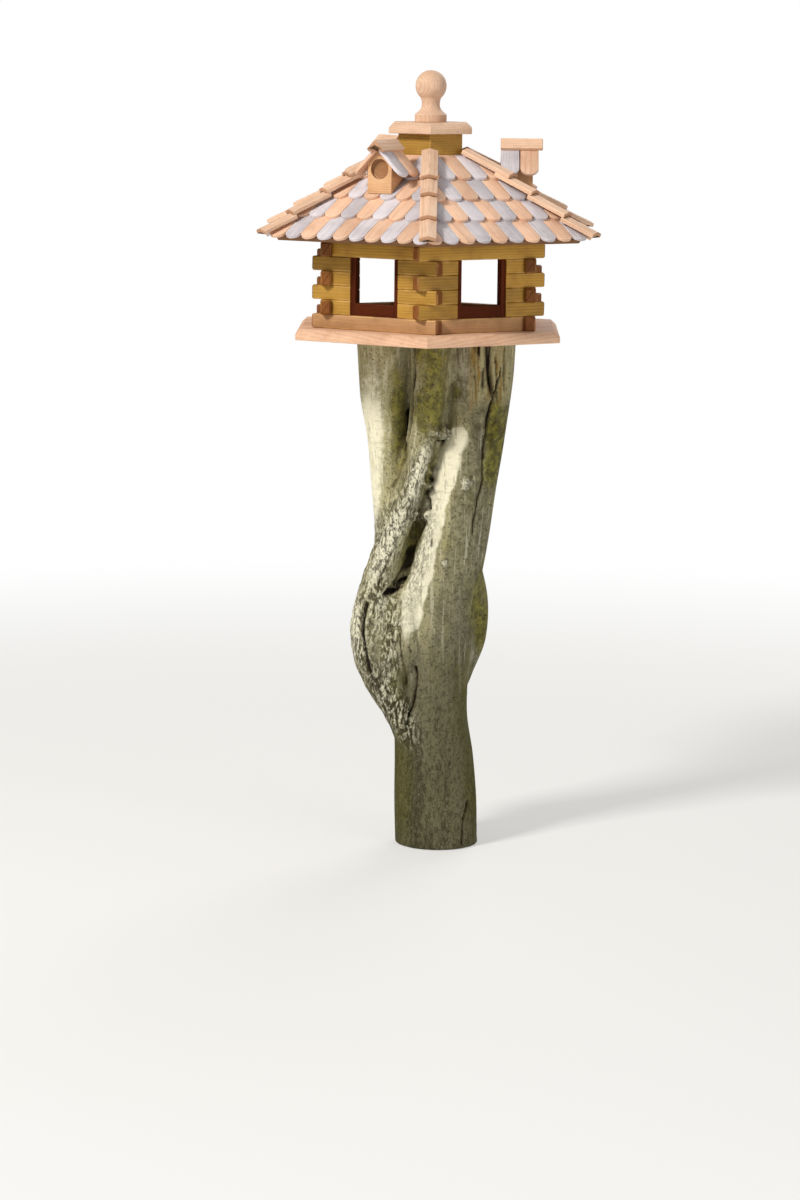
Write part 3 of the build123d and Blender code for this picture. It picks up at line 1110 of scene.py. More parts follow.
@dataclass
class WindowFrames(Assembly):
    """Dark frames in the window openings: two jambs and the sill board between them."""

    walls: LogWalls
    jamb: float = 8.0 * MM
    sill: float = 20.0 * MM
    sill_play: float = 0.1 * MM
    depth: float = 12.0 * MM
    set_back: float = 3.0 * MM
    fit: float = 0.2 * MM
    ease: float = 0.8 * MM
    chamfer: float = 0.3 * MM
    faces: tuple[Face, ...] = (Face.RIGHT, Face.LEFT, Face.FRONT_LEFT, Face.FRONT_RIGHT)

    def build(self) -> None:
        """Make and dress the frames. The two windows at the back are bare openings."""
        walls = self.walls
        bottom = walls.floor + walls.window_courses[0] * walls.height + self.fit
        height = len(walls.window_courses) * walls.height + walls.joint - 2 * self.fit
        half = walls.window_width / 2 - self.fit
        length = 2 * (half - self.jamb) - self.sill_play
        middle = walls.centre + walls.thickness / 2 - self.set_back - self.depth / 2
        for face in self.faces:
            frame = Joinery(face.node + "_window_boards", seed=200 + face.value)
            for side in (-1, 1):
                place = Matrix.Translation((middle, side * (half - self.jamb / 2), bottom))
                board = self._board(height, self.depth, self.jamb)
                frame.add(board, face.turn @ place @ spin(-90, "Y"))
            place = Matrix.Translation((middle, -length / 2, bottom + self.sill / 2))
            frame.add(self._board(length, self.sill, self.depth), face.turn @ place @ spin(90))
            frame.deliver(self.rack, Finish.MAHOGANY, face.node + "_window_frame")

    def _board(self, length: float, up: float, across: float) -> Timber:
        """Small board along X."""
        return bar(rectangle(across, up), length, self.ease, (self.chamfer, self.chamfer))


@dataclass(frozen=True)
class HexPlate:
    """One flat hexagonal piece, by the radius to its corners and the bevel of its upper edge."""

    name: str
    node: str
    finish: Finish
    corner: float
    bevel: float = 0.0


@dataclass
class HexPlates(Assembly):
    """Base board, cap plate and lantern."""

    ease: float = 0.8 * MM
    break_edge: float = 0.3 * MM
    crown: float = 0.4 * MM
    plates: tuple[HexPlate, ...] = (
        HexPlate("base_board_planed", "base_board", Finish.BASE, 250.0 * MM, 8.5 * MM),
        HexPlate("cap_plate_planed", "cap_plate", Finish.PINE, 79.0 * MM, 9.0 * MM),
        HexPlate("lantern_block", "lantern", Finish.LOG, 60.8 * MM),
    )

    def build(self) -> None:
        """Make and dress the three pieces."""
        for piece in self.plates:
            joinery = Joinery(piece.name, seed=len(piece.name))
            joinery.add(self._plate(piece))
            joinery.deliver(self.rack, piece.finish, piece.node)

    def _plate(self, piece: HexPlate) -> Timber:
        """Flat hexagonal plate with its outline in X and Y.

        Args:
            piece: Its sizes.

        Returns:
            The plate.
        """
        low, high = (corner.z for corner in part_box(piece.node))
        ease, broken, bevel = self.ease, self.break_edge, piece.bevel
        levels = [(low, ease), (low + ease, 0.0), (high - ease, 0.0), (high, ease)]
        if bevel:
            levels[2:] = (
                (high - bevel - broken, 0.0), (high - bevel + broken, broken),
                (high - self.crown, bevel - self.crown), (high, bevel + broken),
            )
        rings = []
        for height, inwards in levels:
            outline, rounded = eased_outline(hexagon(piece.corner - inwards / COS_30), ease)
            rings.append([Vector((across, along, height)) for across, along in outline])
        return Timber.from_rings(rings, (0, len(rings) - 2), rounded)


def arc_through(start: Place, middle: Place, end: Place, steps: int) -> Outline:
    """Points on the circle through three points, without the first.

    Args:
        start: Where the arc starts.
        middle: A point on its way.
        end: Where it ends.
        steps: How many points.

    Returns:
        The points.
    """
    first = Vector(start)
    one, two = Vector(middle) - first, Vector(end) - first
    twice_area = 2 * (one.x * two.y - one.y * two.x)
    middle_x = (two.y * one.length_squared - one.y * two.length_squared) / twice_area
    middle_y = (one.x * two.length_squared - two.x * one.length_squared) / twice_area
    centre = first + Vector((middle_x, middle_y))
    spoke, last = first - centre, Vector(end) - centre
    sweep = math.atan2(spoke.x * last.y - spoke.y * last.x, spoke.dot(last))
    points = []
    for step in range(1, steps + 1):
        point = centre + Matrix.Rotation(sweep * step / steps, 2) @ spoke
        points.append((point.x, point.y))
    return points


@dataclass
class Finial(Assembly):
    """Turned ring, neck and ball on the cap plate."""

    ring_radius: float = 26.4 * MM
    ring_height: float = 13.0 * MM
    shoulder_height: float = 4.2 * MM
    shoulder_radius: float = 20.4 * MM
    neck_radius: float = 14.8 * MM
    neck_height: float = 28.8 * MM
    ball_radius: float = 25.7 * MM
    ball_height: float = 59.0 * MM
    join_angle: float = math.radians(-48.0)
    cove_depth: float = 0.75
    ease: float = 1.0 * MM
    segments: int = 96
    cove_steps: int = 10
    ball_steps: int = 28

    def build(self) -> None:
        """Turn the finial and dress it."""
        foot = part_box("finial")[0].z
        turns = [2 * math.pi * step / self.segments for step in range(self.segments)]
        rings = []
        for radius, height in self._profile():
            rings.append([Vector((*on_circle(radius, turn), height + foot)) for turn in turns])
        joinery = Joinery("turned_finial", seed=3)
        joinery.add(Timber.from_rings(rings, (0, 2)), grain=spin(90, "Y"))
        joinery.deliver(self.rack, Finish.PINE, "finial")

    def _on_ball(self, turn: float) -> Place:
        """Point of the ball's outline."""
        radius, up = on_circle(self.ball_radius, turn)
        return (radius, self.ball_height + up)

    def _profile(self) -> Outline:
        """Radius and height up the turned outline.

        Returns:
            The points, from the foot.
        """
        ease, radius, top = self.ease, self.ring_radius, self.ring_height
        profile = [(radius - ease, 0.0), (radius, ease), (radius, top - ease), (radius - ease, top)]
        shoulder = (self.shoulder_radius, top + self.shoulder_height)
        neck = (self.neck_radius, self.neck_height)
        join = self._on_ball(self.join_angle)
        profile.append(shoulder)
        for start, end, wide in ((shoulder, neck, shoulder), (neck, join, join)):
            narrow = wide[0] * (1 - self.cove_depth) + neck[0] * self.cove_depth
            cove = (narrow, (start[1] + end[1]) / 2)
            profile.extend(arc_through(start, cove, end, self.cove_steps))
        sweep = math.radians(90) - self.join_angle
        for step in range(1, self.ball_steps):
            profile.append(self._on_ball(self.join_angle + sweep * step / self.ball_steps))
        return profile


@dataclass
class RoofPlan:
    """Sizes and slopes that the pieces of the roof share."""

    pitch: float = math.radians(32.6)
    panel_thickness: float = 8.0 * MM
    wall_outer: float = 176.0 * MM
    seat_gap: float = 0.2 * MM
    shingle_gap: float = 0.15 * MM
    shingle_thickness: float = 5.0 * MM
    shingle_width: float = 29.4 * MM
    shingle_pitch: float = 30.0 * MM
    row_tips: tuple[float, ...] = (265.0 * MM, 216.5 * MM, 170.0 * MM, 121.5 * MM)
    head_step: float = 49.8 * MM
    lantern_corner: float = 60.8 * MM

    @property
    def wall_top(self) -> float:
        """Height of the walls."""
        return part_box("left_wall")[1].z

    def panel_top(self, distance: float) -> float:
        """Height of the panels' upper face at a distance from the middle."""
        under = self.wall_top + self.seat_gap + (self.wall_outer - distance) * math.tan(self.pitch)
        return under + self.panel_thickness / math.cos(self.pitch)

    @property
    def shingle_slope(self) -> float:
        """Slope of a shingle, less than the roof's because its tail lies on the row below."""
        step = self.head_step / math.cos(self.pitch)
        return self.pitch - math.asin((self.shingle_thickness + self.shingle_gap) / step)

    def row_head(self, row: int) -> float:
        """Distance from the middle to the heads of a row."""
        steps = len(self.row_tips) - 1 - row
        return self.lantern_corner * COS_30 + self.seat_gap + steps * self.head_step

    def row_length(self, row: int) -> float:
        """Length of a row's shingles from head to tip."""
        run, slope = self.row_tips[row] - self.row_head(row), self.shingle_slope
        return (run - self.shingle_thickness * math.sin(slope)) / math.cos(slope)

    @property
    def rise(self) -> float:
        """Height over the panels that clears every shingle.

        Returns:
            The height.
        """
        slope, most = self.shingle_slope, 0.0
        for row, tip in enumerate(self.row_tips):
            top = self.panel_top(self.row_head(row)) + self.shingle_gap
            top += self.shingle_thickness * math.cos(slope) - self.row_length(row) * math.sin(slope)
            most = max(most, top - self.panel_top(tip))
        return most + self.seat_gap


def tail_shape(
    name: str, length: float, width: float, thickness: float, ease: float = 0.7 * MM
) -> bpy.types.Object:
    """One shingle with a rounded tail, as a pattern for the rows.

    Args:
        name: Name of the pattern.
        length: Length from head to tip, along X.
        width: Width along Y.
        thickness: Thickness along Z, from 0.
        ease: Rounding of its upper edge.

    Returns:
        The pattern's object.
    """
    side_steps, arc_steps = 8, 18
    radius = width / 2
    straight = length - radius
    outline = [(straight * step / side_steps, -radius) for step in range(side_steps)]
    for step in range(arc_steps + 1):
        along, across = on_circle(radius, math.radians(-90 + 180 * step / arc_steps))
        outline.append((straight + along, across))
    outline.extend((straight * (1 - (step + 1) / side_steps), radius) for step in range(side_steps))
    levels = (
        (0.0, ease * 0.4), (ease * 0.4, 0.0), (thickness - ease, 0.0),
        (thickness - ease * 0.35, ease * 0.3), (thickness, ease),
    )
    rings = []
    for height, inwards in levels:
        ring = inset(outline, inwards) if inwards else outline
        rings.append([Vector((along, across, height)) for along, across in ring])
    joinery = Joinery(name, seed=1)
    joinery.add(Timber.from_rings(rings, (0, 2, 3)))
    mesh = joinery.mesh()
    mesh.attributes.remove(mesh.attributes[Mark.TONE.value])
    return show(name, mesh)


class ShingleRowTree:
    """Node tree that lays one row of shingles on a face and adds it to the rows before it."""

    MERGE = 0.03 * MM
    VALUES = (
        "First Middle", "Spacing", "Head Distance", "Head Height", "Slope", "Hip Gap", "Turn",
        "Yaw Play", "Slide Play",
    )
    INPUTS = (
        Socket("Rows Before", "NodeSocketGeometry"), Socket("Shingle", "NodeSocketObject"),
        Socket("Wood", "NodeSocketMaterial"), Socket("Columns", "NodeSocketInt", 1),
        Socket("Seed", "NodeSocketInt", 0), *(Socket(name, value=0.0) for name in VALUES),
    )

    def __init__(self) -> None:
        """Build the tree."""
        outputs = [Socket("Geometry", "NodeSocketGeometry")]
        board, given = open_group("Shingle Row", self.INPUTS, outputs, "GeometryNodeTree")
        self.tree = board.tree
        start = board.xyz(given["Head Distance"], given["First Middle"], given["Head Height"])
        line = {"Count": given["Columns"], "Start Location": start, "Offset": board.xyz(y=given["Spacing"])}
        shingle = board.node("GeometryNodeObjectInfo", {"Object": given["Shingle"]})
        placing = {
            "Points": board.first("GeometryNodeMeshLine", line),
            "Instance": shingle.outputs["Geometry"],
            "Rotation": board.xyz(y=given["Slope"]),
        }
        row = board.first("GeometryNodeInstanceOnPoints", placing)
        yaw = board.xyz(z=self._random(board, given["Seed"], given["Yaw Play"], 11))
        turning = {"Instances": row, "Rotation": yaw, "Local Space": True}
        row = board.first("GeometryNodeRotateInstances", turning)
        slide = board.xyz(self._random(board, given["Seed"], given["Slide Play"], 23))
        sliding = {"Instances": row, "Translation": slide, "Local Space": True}
        row = board.first("GeometryNodeTranslateInstances", sliding)
        tone = board.node("FunctionNodeRandomValue", {"Seed": given["Seed"]}, data_type="FLOAT").outputs[1]
        storing = {"Geometry": row, "Name": Mark.TONE.value, "Value": tone}
        row = board.first(
            "GeometryNodeStoreNamedAttribute", storing, data_type="FLOAT", domain="INSTANCE"
        )
        row = board.first("GeometryNodeRealizeInstances", {"Geometry": row})
        row = self._cut_at_hips(board, row, given["Hip Gap"])
        row = board.first("GeometryNodeMergeByDistance", {"Geometry": row, "Distance": self.MERGE})
        row = board.first("GeometryNodeSetMaterial", {"Geometry": row, "Material": given["Wood"]})
        row = board.first("GeometryNodeTransform", {"Geometry": row, "Rotation": board.xyz(z=given["Turn"])})
        joined = board.node("GeometryNodeJoinGeometry")
        for part in (row, given["Rows Before"]):
            board.tree.links.new(part, joined.inputs[0])
        board.close({"Geometry": joined.outputs[0]})

    @staticmethod
    def _random(board: Board, seed: Link, play: Link, shift: int) -> Link:
        """Random value between minus and plus the play.

        Args:
            board: The tree's board.
            seed: Seed socket.
            play: Most that the value may be.
            shift: Number added to the seed, so that each use draws its own.

        Returns:
            The value.
        """
        own_seed = board.math("ADD", seed, float(shift))
        inputs = {2: board.times(play, -1.0), 3: play, "Seed": own_seed}
        return board.node("FunctionNodeRandomValue", inputs, data_type="FLOAT").outputs[1]

    @staticmethod
    def _cut_at_hips(board: Board, geometry: Link, hip_gap: Link) -> Link:
        """Bring every point that reaches over a hip back to the hip's plane.

        Args:
            board: The tree's board.
            geometry: The shingles in the face's own frame.
            hip_gap: Distance kept from the hip.

        Returns:
            The cut shingles.
        """
        place = board.first("GeometryNodeInputPosition")
        x, y, z = board.node("ShaderNodeSeparateXYZ", {0: place}).outputs
        limit = board.math("SUBTRACT", board.times(x, TAN_30), hip_gap)
        held = board.math("MAXIMUM", board.math("MINIMUM", y, limit), board.times(limit, -1.0))
        inputs = {"Geometry": geometry, "Position": board.xyz(x, held, z)}
        return board.first("GeometryNodeSetPosition", inputs)

    def add_to(self, piece: bpy.types.Object, values: dict[str, object]) -> None:
        """Add one row to a piece as a modifier.

        Args:
            piece: The piece that holds the rows.
            values: The row's inputs by name.
        """
        modifier = piece.modifiers.new("row", "NODES")
        modifier.node_group = self.tree
        for item in self.tree.interface.items_tree:
            if item.item_type == "SOCKET" and item.name in values:
                modifier[item.identifier] = values[item.name]


@dataclass
class Shingles(Assembly):
    """Beaver-tail shingles in four rows on each roof face, and four on each dormer."""

    plan: RoofPlan
    dormers: Dormers
    hip_gap: float = 0.4 * MM
    least_sliver: float = 6.0 * MM
    yaw_play: float = math.radians(0.35)
    slide_play: float = 0.6 * MM

    def build(self) -> None:
        """Lay and dress all shingles."""
        plan, dormers, rack = self.plan, self.dormers, self.rack
        patterns = []
        for row in range(len(plan.row_tips)):
            length = plan.row_length(row)
            pattern = tail_shape(f"pattern_{row}", length, plan.shingle_width, plan.shingle_thickness)
            patterns.append(pattern)
        tree = ShingleRowTree()
        for face in Face:
            for colour, finish in (("tan", Finish.TAN), ("grey", Finish.GREY)):
                is_tan = finish is Finish.TAN
                mesh = bpy.data.meshes.new(f"{face.node}_{colour}_tails")
                piece = show(mesh.name, mesh)
                for row, pattern in enumerate(patterns):
                    values = self._row_values(row, is_tan, face)
                    tree.add_to(piece, {**values, "Shingle": pattern, "Wood": rack.ready[finish]})
                bake(piece)
                if face in dormers.walls:
                    dormers.add_shingles(piece, face, is_tan)
                    rack.dress(piece.data, finish)
                    piece.data.polygons.foreach_set("material_index", [0] * len(piece.data.polygons))
                soften(piece.data)
                hand_over(piece, finish, f"{face.node}_{colour}_shingles")
        for pattern in patterns:
            bpy.data.objects.remove(pattern)

    def _row_values(self, row: int, is_tan: bool, face: Face) -> dict[str, float]:
        """Inputs of the tree for one row and colour.

        Args:
            row: Number of the row from the lowest.
            is_tan: Whether the tan ones are laid, or else the grey ones.
            face: The face they lie on.

        Returns:
            Values by the names of the inputs.
        """
        plan = self.plan
        widest = (plan.row_tips[row] - plan.shingle_width / 4) * TAN_30
        reach = math.ceil(widest / plan.shingle_pitch)
        is_staggered = row % 2 == 0
        middles = []
        for column in range(-reach, reach + 1):
            middle = (column + 0.5 * is_staggered) * plan.shingle_pitch
            inner_edge = abs(middle) - plan.shingle_width / 2
            shows = inner_edge + self.least_sliver <= widest
            if shows and (column % 2 == int(is_staggered)) == is_tan:
                middles.append(middle)
        head = plan.row_head(row)
        return {
            "Columns": len(middles),
            "First Middle": middles[0],
            "Spacing": 2 * plan.shingle_pitch,
            "Head Distance": head,
            "Head Height": plan.panel_top(head) + plan.shingle_gap,
            "Slope": plan.shingle_slope,
            "Hip Gap": self.hip_gap,
            "Turn": math.radians(face.value),
            "Yaw Play": self.yaw_play,
            "Slide Play": self.slide_play,
            "Seed": face.value * 8 + row * 2 + int(is_tan),
        }


@dataclass
class HipCaps(Assembly):
    """Shallow V boards up each hip, each lapped over the one below it."""

    plan: RoofPlan
    width: float = 27.4 * MM
    thickness: float = 6.5 * MM
    tips: tuple[float, ...] = (314.0 * MM, 261.0 * MM, 200.0 * MM, 158.0 * MM)
    head_step: float = 62.0 * MM
    ease: float = 1.1 * MM
    head_chamfer: float = 0.4 * MM
    tip_chamfer: float = 0.9 * MM

    def build(self) -> None:
        """Make and dress the caps of all hips."""
        for hip in Hip:
            joinery = Joinery(hip.node + "_boards", seed=400 + hip.value)
            for place, tip in enumerate(self.tips):
                self._cap(joinery, hip, len(self.tips) - 1 - place, tip)
            joinery.deliver(self.rack, Finish.PINE, hip.node + "_hip_caps")

    def _cap(self, joinery: Joinery, hip: Hip, steps: int, tip: float) -> None:
        """Lay one cap.

        Args:
            joinery: The hip's joinery.
            hip: Which hip.
            steps: How many caps lie above it.
            tip: Distance of its tip from the middle.
        """
        plan = self.plan
        slope = math.atan(math.tan(plan.pitch) * COS_30)
        leg_drop = math.tan(plan.pitch) * 0.5 * math.cos(slope)
        upright = self.thickness / math.cos(math.atan(leg_drop))
        rise = upright / math.cos(slope) + plan.seat_gap
        half = self.width / 2
        drop = half * leg_drop
        under = [(-half, -drop), (0.0, 0.0), (half, -drop)]
        corners = under + [(across, up + upright) for across, up in reversed(under)]
        head = plan.lantern_corner + plan.seat_gap + upright + steps * self.head_step
        lift = rise * (tip - head) / self.head_step
        start = Vector((head, 0.0, plan.panel_top(head * COS_30) + plan.rise))
        end = Vector((tip, 0.0, plan.panel_top(tip * COS_30) + plan.rise + lift))
        along = end - start
        up = Vector((-along.z, 0.0, along.x)).normalized()
        place = stand(start, along.normalized(), Vector((0.0, 1.0, 0.0)), up)
        chamfers = (self.head_chamfer, self.tip_chamfer)
        cap = bar(corners, along.length, self.ease, chamfers, stations=3)
        joinery.add(cap, hip.turn @ place)


@dataclass
class Dormers(Assembly):
    """Three small dormers with a blind round recess, shingles and a ridge cap."""

    plan: RoofPlan
    shingle_width: float = 30.0 * MM
    shingle_space: float = 2.0 * MM
    shingle_length: float = 59.0 * MM
    from_ridge: float = 3.0 * MM
    overhang: float = 9.0 * MM
    cap_leg: float = 22.0 * MM
    cap_thickness: float = 6.5 * MM
    cap_length: float = 69.5 * MM
    cap_overhang: float = 16.0 * MM
    cap_ease: float = 1.0 * MM
    cap_chamfers: Place = (0.5 * MM, 0.9 * MM)
    recess_radius: float = 16.5 * MM
    recess_depth: float = 7.0 * MM
    recess_below_ridge: float = 48.0 * MM
    drill_pit: float = 1.4 * MM
    drill_slope: float = 13.53 * MM
    block_ease: float = 0.7 * MM
    block_tone: float = 0.5
    shingle_tone: float = 0.3
    side_grain: float = 0.3
    walls: dict[Face, float] = field(
        default_factory=lambda: {
            Face.FRONT_LEFT: 161.0 * MM, Face.RIGHT: 170.0 * MM, Face.BACK_LEFT: 161.0 * MM,
        }
    )

    @property
    def ridge(self) -> float:
        """Height of the dormers' ridges, from the frame."""
        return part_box("right_dormer_ridge_cap")[1].z

    @property
    def peak(self) -> float:
        """Height of the line where the undersides of a dormer's shingles would meet."""
        under = self.ridge - self.cap_thickness * ROOT_2
        return under - (self.plan.shingle_thickness + 2 * self.plan.seat_gap) * ROOT_2

    def build(self) -> None:
        """Make and dress the blocks and ridge caps."""
        for face, wall in self.walls.items():
            self._block(face)
            self._ridge_cap(face, wall)

    def _block(self, face: Face) -> None:
        """Ease the edges of a dormer's block.

        Args:
            face: The face it stands on.
        """
        node = face.node + "_dormer"
        mesh = bpy.data.objects[node].data.copy()
        mesh.name = face.node + "_dormer_block"
        shape = bmesh.new()
        shape.from_mesh(mesh)
        bmesh.ops.remove_doubles(shape, verts=shape.verts, dist=0.01 * MM)
        flat = math.radians(1)
        bmesh.ops.dissolve_limit(shape, angle_limit=flat, verts=shape.verts, edges=shape.edges)
        self._drill_mark(shape, face)
        shape.to_mesh(mesh)
        shape.free()
        self.rack.dress(mesh, Finish.DORMER)
        mesh.materials.append(self.rack.ready[Finish.DORMER])
        piece = show(mesh.name, mesh)
        easing = piece.modifiers.new("eased", "BEVEL")
        easing.width = self.block_ease
        easing.segments = 2
        easing.limit_method = "ANGLE"
        easing.angle_limit = math.radians(40)
        easing.material = 1
        bake(piece)
        self._mark_block(piece.data, face)
        soften(piece.data)
        hand_over(piece, Finish.DORMER, node)

    def _drill_mark(self, shape: bmesh.types.BMesh, face: Face) -> None:
        """Small pit that the drill's point left in the middle of the recess.

        Args:
            shape: The block.
            face: The face it stands on.
        """
        outward = face.turn @ Vector((1.0, 0.0, 0.0))
        front = max(vertex.co.dot(outward) for vertex in shape.verts)
        for part in shape.faces:
            depth = front - part.calc_center_median().dot(outward)
            if part.normal.dot(outward) > 0.99 and depth > self.recess_depth / 2:
                bmesh.ops.inset_region(shape, faces=[part], thickness=self.drill_slope)
                for vertex in part.verts:
                    vertex.co -= outward * self.drill_pit
                break

    def _mark_block(self, mesh: bpy.types.Mesh, face: Face) -> None:
        """Give a block its marks, with the grain across its front.

        Args:
            mesh: The eased block, whose bevels have the second material.
            face: The face it stands on.
        """
        back = spin(90 - face.value)
        count = len(mesh.vertices)
        marks: dict[Mark, list] = {
            Mark.GRAIN: [back @ vertex.co for vertex in mesh.vertices],
            Mark.TONE: [self.block_tone + face.shade] * count,
            Mark.BARE: [0.0] * count,
            Mark.WORN: [float(part.material_index) for part in mesh.polygons],
            Mark.END_CUT: [],
        }
        across = face.turn @ Vector((0.0, 1.0, 0.0))
        outward = face.turn @ Vector((1.0, 0.0, 0.0))
        middle = Vector((0.0, 0.0, self.ridge - self.recess_below_ridge))
        for part in mesh.polygons:
            is_side = abs(part.normal.dot(across)) > 0.9
            cut = self.side_grain if is_side and not part.material_index else 0.0
            off = part.center - middle
            depth = self.walls[face] - part.center.dot(outward)
            away = math.hypot(off.dot(across), off.z)
            # Faces inside the round recess take the end-grain colour in full, as painted shade in the
            # recess.
            if depth > 0.4 * MM and away < self.recess_radius + 0.2 * MM:
                cut = 1.0
            marks[Mark.END_CUT].append(cut)
            part.material_index = 0
        write_marks(mesh, marks)

    def _ridge_cap(self, face: Face, wall: float) -> None:
        """Right-angled V board on a dormer's ridge.

        Args:
            face: The face it stands on.
            wall: Distance of the dormer's front from the middle.
        """
        reach = self.cap_leg / ROOT_2
        edge = self.cap_thickness / ROOT_2
        corners = [
            (0.0, 0.0), (-reach, -reach), (edge - reach, -reach - edge),
            (0.0, -self.cap_thickness * ROOT_2), (reach - edge, -reach - edge), (reach, -reach),
        ]
        start = wall + self.cap_overhang - self.cap_length
        place = Matrix.Translation((start, 0.0, self.ridge))
        joinery = Joinery(face.node + "_ridge_board", seed=600 + face.value)
        cap = bar(corners, self.cap_length, self.cap_ease, self.cap_chamfers, stations=3)
        joinery.add(cap, face.turn @ place)
        joinery.deliver(self.rack, Finish.PINE, face.node + "_dormer_ridge_cap")

    def add_shingles(self, piece: bpy.types.Object, face: Face, is_tan: bool) -> None:
        """Add a dormer's shingles of one colour to the face's piece.

        Args:
            piece: The face's shingles of that colour.
            face: The face, which has a dormer.
            is_tan: Whether they are the tan ones.
        """
        thickness = self.plan.shingle_thickness
        pattern = tail_shape("dormer_pattern", self.shingle_length, self.shingle_width, thickness)
        shape = bmesh.new()
        shape.from_mesh(piece.data)
        tone = shape.verts.layers.float[Mark.TONE.value]
        for side, place in ((-1, 0), (-1, 1), (1, 0), (1, 1)):
            if ((side < 0) == (place == 0)) != is_tan:
                continue
            known = set(shape.verts)
            shape.from_mesh(pattern.data)
            seat = face.turn @ self._seat(face, side, place)
            for vertex in shape.verts:
                if vertex not in known:
                    vertex.co = seat @ vertex.co
                    vertex[tone] = self.shingle_tone + 0.17 * place + 0.05 * side + face.shade
        shape.to_mesh(piece.data)
        shape.free()
        bpy.data.objects.remove(pattern)

    def _seat(self, face: Face, side: int, place: int) -> Matrix:
        """Where a dormer's shingle lies.

        Args:
            face: The face.
            side: −1 or 1 for the side of the ridge.
            place: 0 in front or 1 behind it.

        Returns:
            The place of its head's middle, with X down the slope.
        """
        middle = self.walls[face] + self.overhang - self.shingle_width / 2
        middle -= place * (self.shingle_width + self.shingle_space)
        down = Vector((0.0, side, -1.0)).normalized()
        outward = Vector((0.0, side, 1.0)).normalized()
        start = Vector((middle, 0.0, self.peak)) + down * self.from_ridge
        start += outward * self.plan.seat_gap
        return stand(start, down, outward.cross(down), outward)


@dataclass(frozen=True)
class Station:
    """Section of a limb: share of the trunk's height, middle and half widths in millimetres."""

    share: float
    x: float
    y: float
    half_x: float
    half_y: float


@dataclass(frozen=True)
class Groove:
    """Crack or crease down the front or back, as points across and up in millimetres."""

    route: Route
    width: float
    depth: float
    dark: float = 1.0
    front: bool = True


@dataclass(frozen=True)
class Knot:
    """Round scar or stub, by its place across and up in millimetres."""

    x: float
    z: float
    radius: float
    height: float
    pale: float = 0.0
    front: bool = True


@dataclass(frozen=True)
class Patch:
    """Soft oval on the front or back, in millimetres, that leans with the height."""

    x: float
    z: float
    half_x: float
    half_z: float
    lean: float = 0.0
    amount: float = 1.0
    front: bool = True


@dataclass(frozen=True)
class Band:
    """Stripe of another tone down the front, as points across and up in millimetres."""

    mark: Mark
    route: Route
    half_width: float
    edge: float
    amount: float = 1.0


@dataclass(frozen=True)
class Ripple:
    """Uneven skin, by its waves to the metre across and up and its height in millimetres."""

    across: float
    up: float
    height: float
    shift: float = 0.0

    def at(self, x: float, y: float, z: float) -> float:
        """Height at a point."""
        place = Vector((x * self.across, y * self.across, z * self.up + self.shift))
        return noise.noise(place) * self.height


@dataclass(frozen=True)
class Wave:
    """Sine wave up the trunk, by its height and length in millimetres and its phase."""

    height: float
    length: float
    phase: float = 0.0


Limb = tuple[Station, ...]


def each(kind: type, *rows: tuple) -> tuple:
    """One record of a kind from each row of values."""
    return tuple(kind(*row) for row in rows)


def bell(offset: np.ndarray, spread: float) -> np.ndarray:
    """Bell curve that is 1 where the offset is 0."""
    return np.exp(-(offset**2) / spread)


def swing(up: np.ndarray, waves: Sequence[Wave]) -> np.ndarray:
    """Sum of waves at each height."""
    return sum(wave.height * np.sin(up / wave.length + wave.phase) for wave in waves)


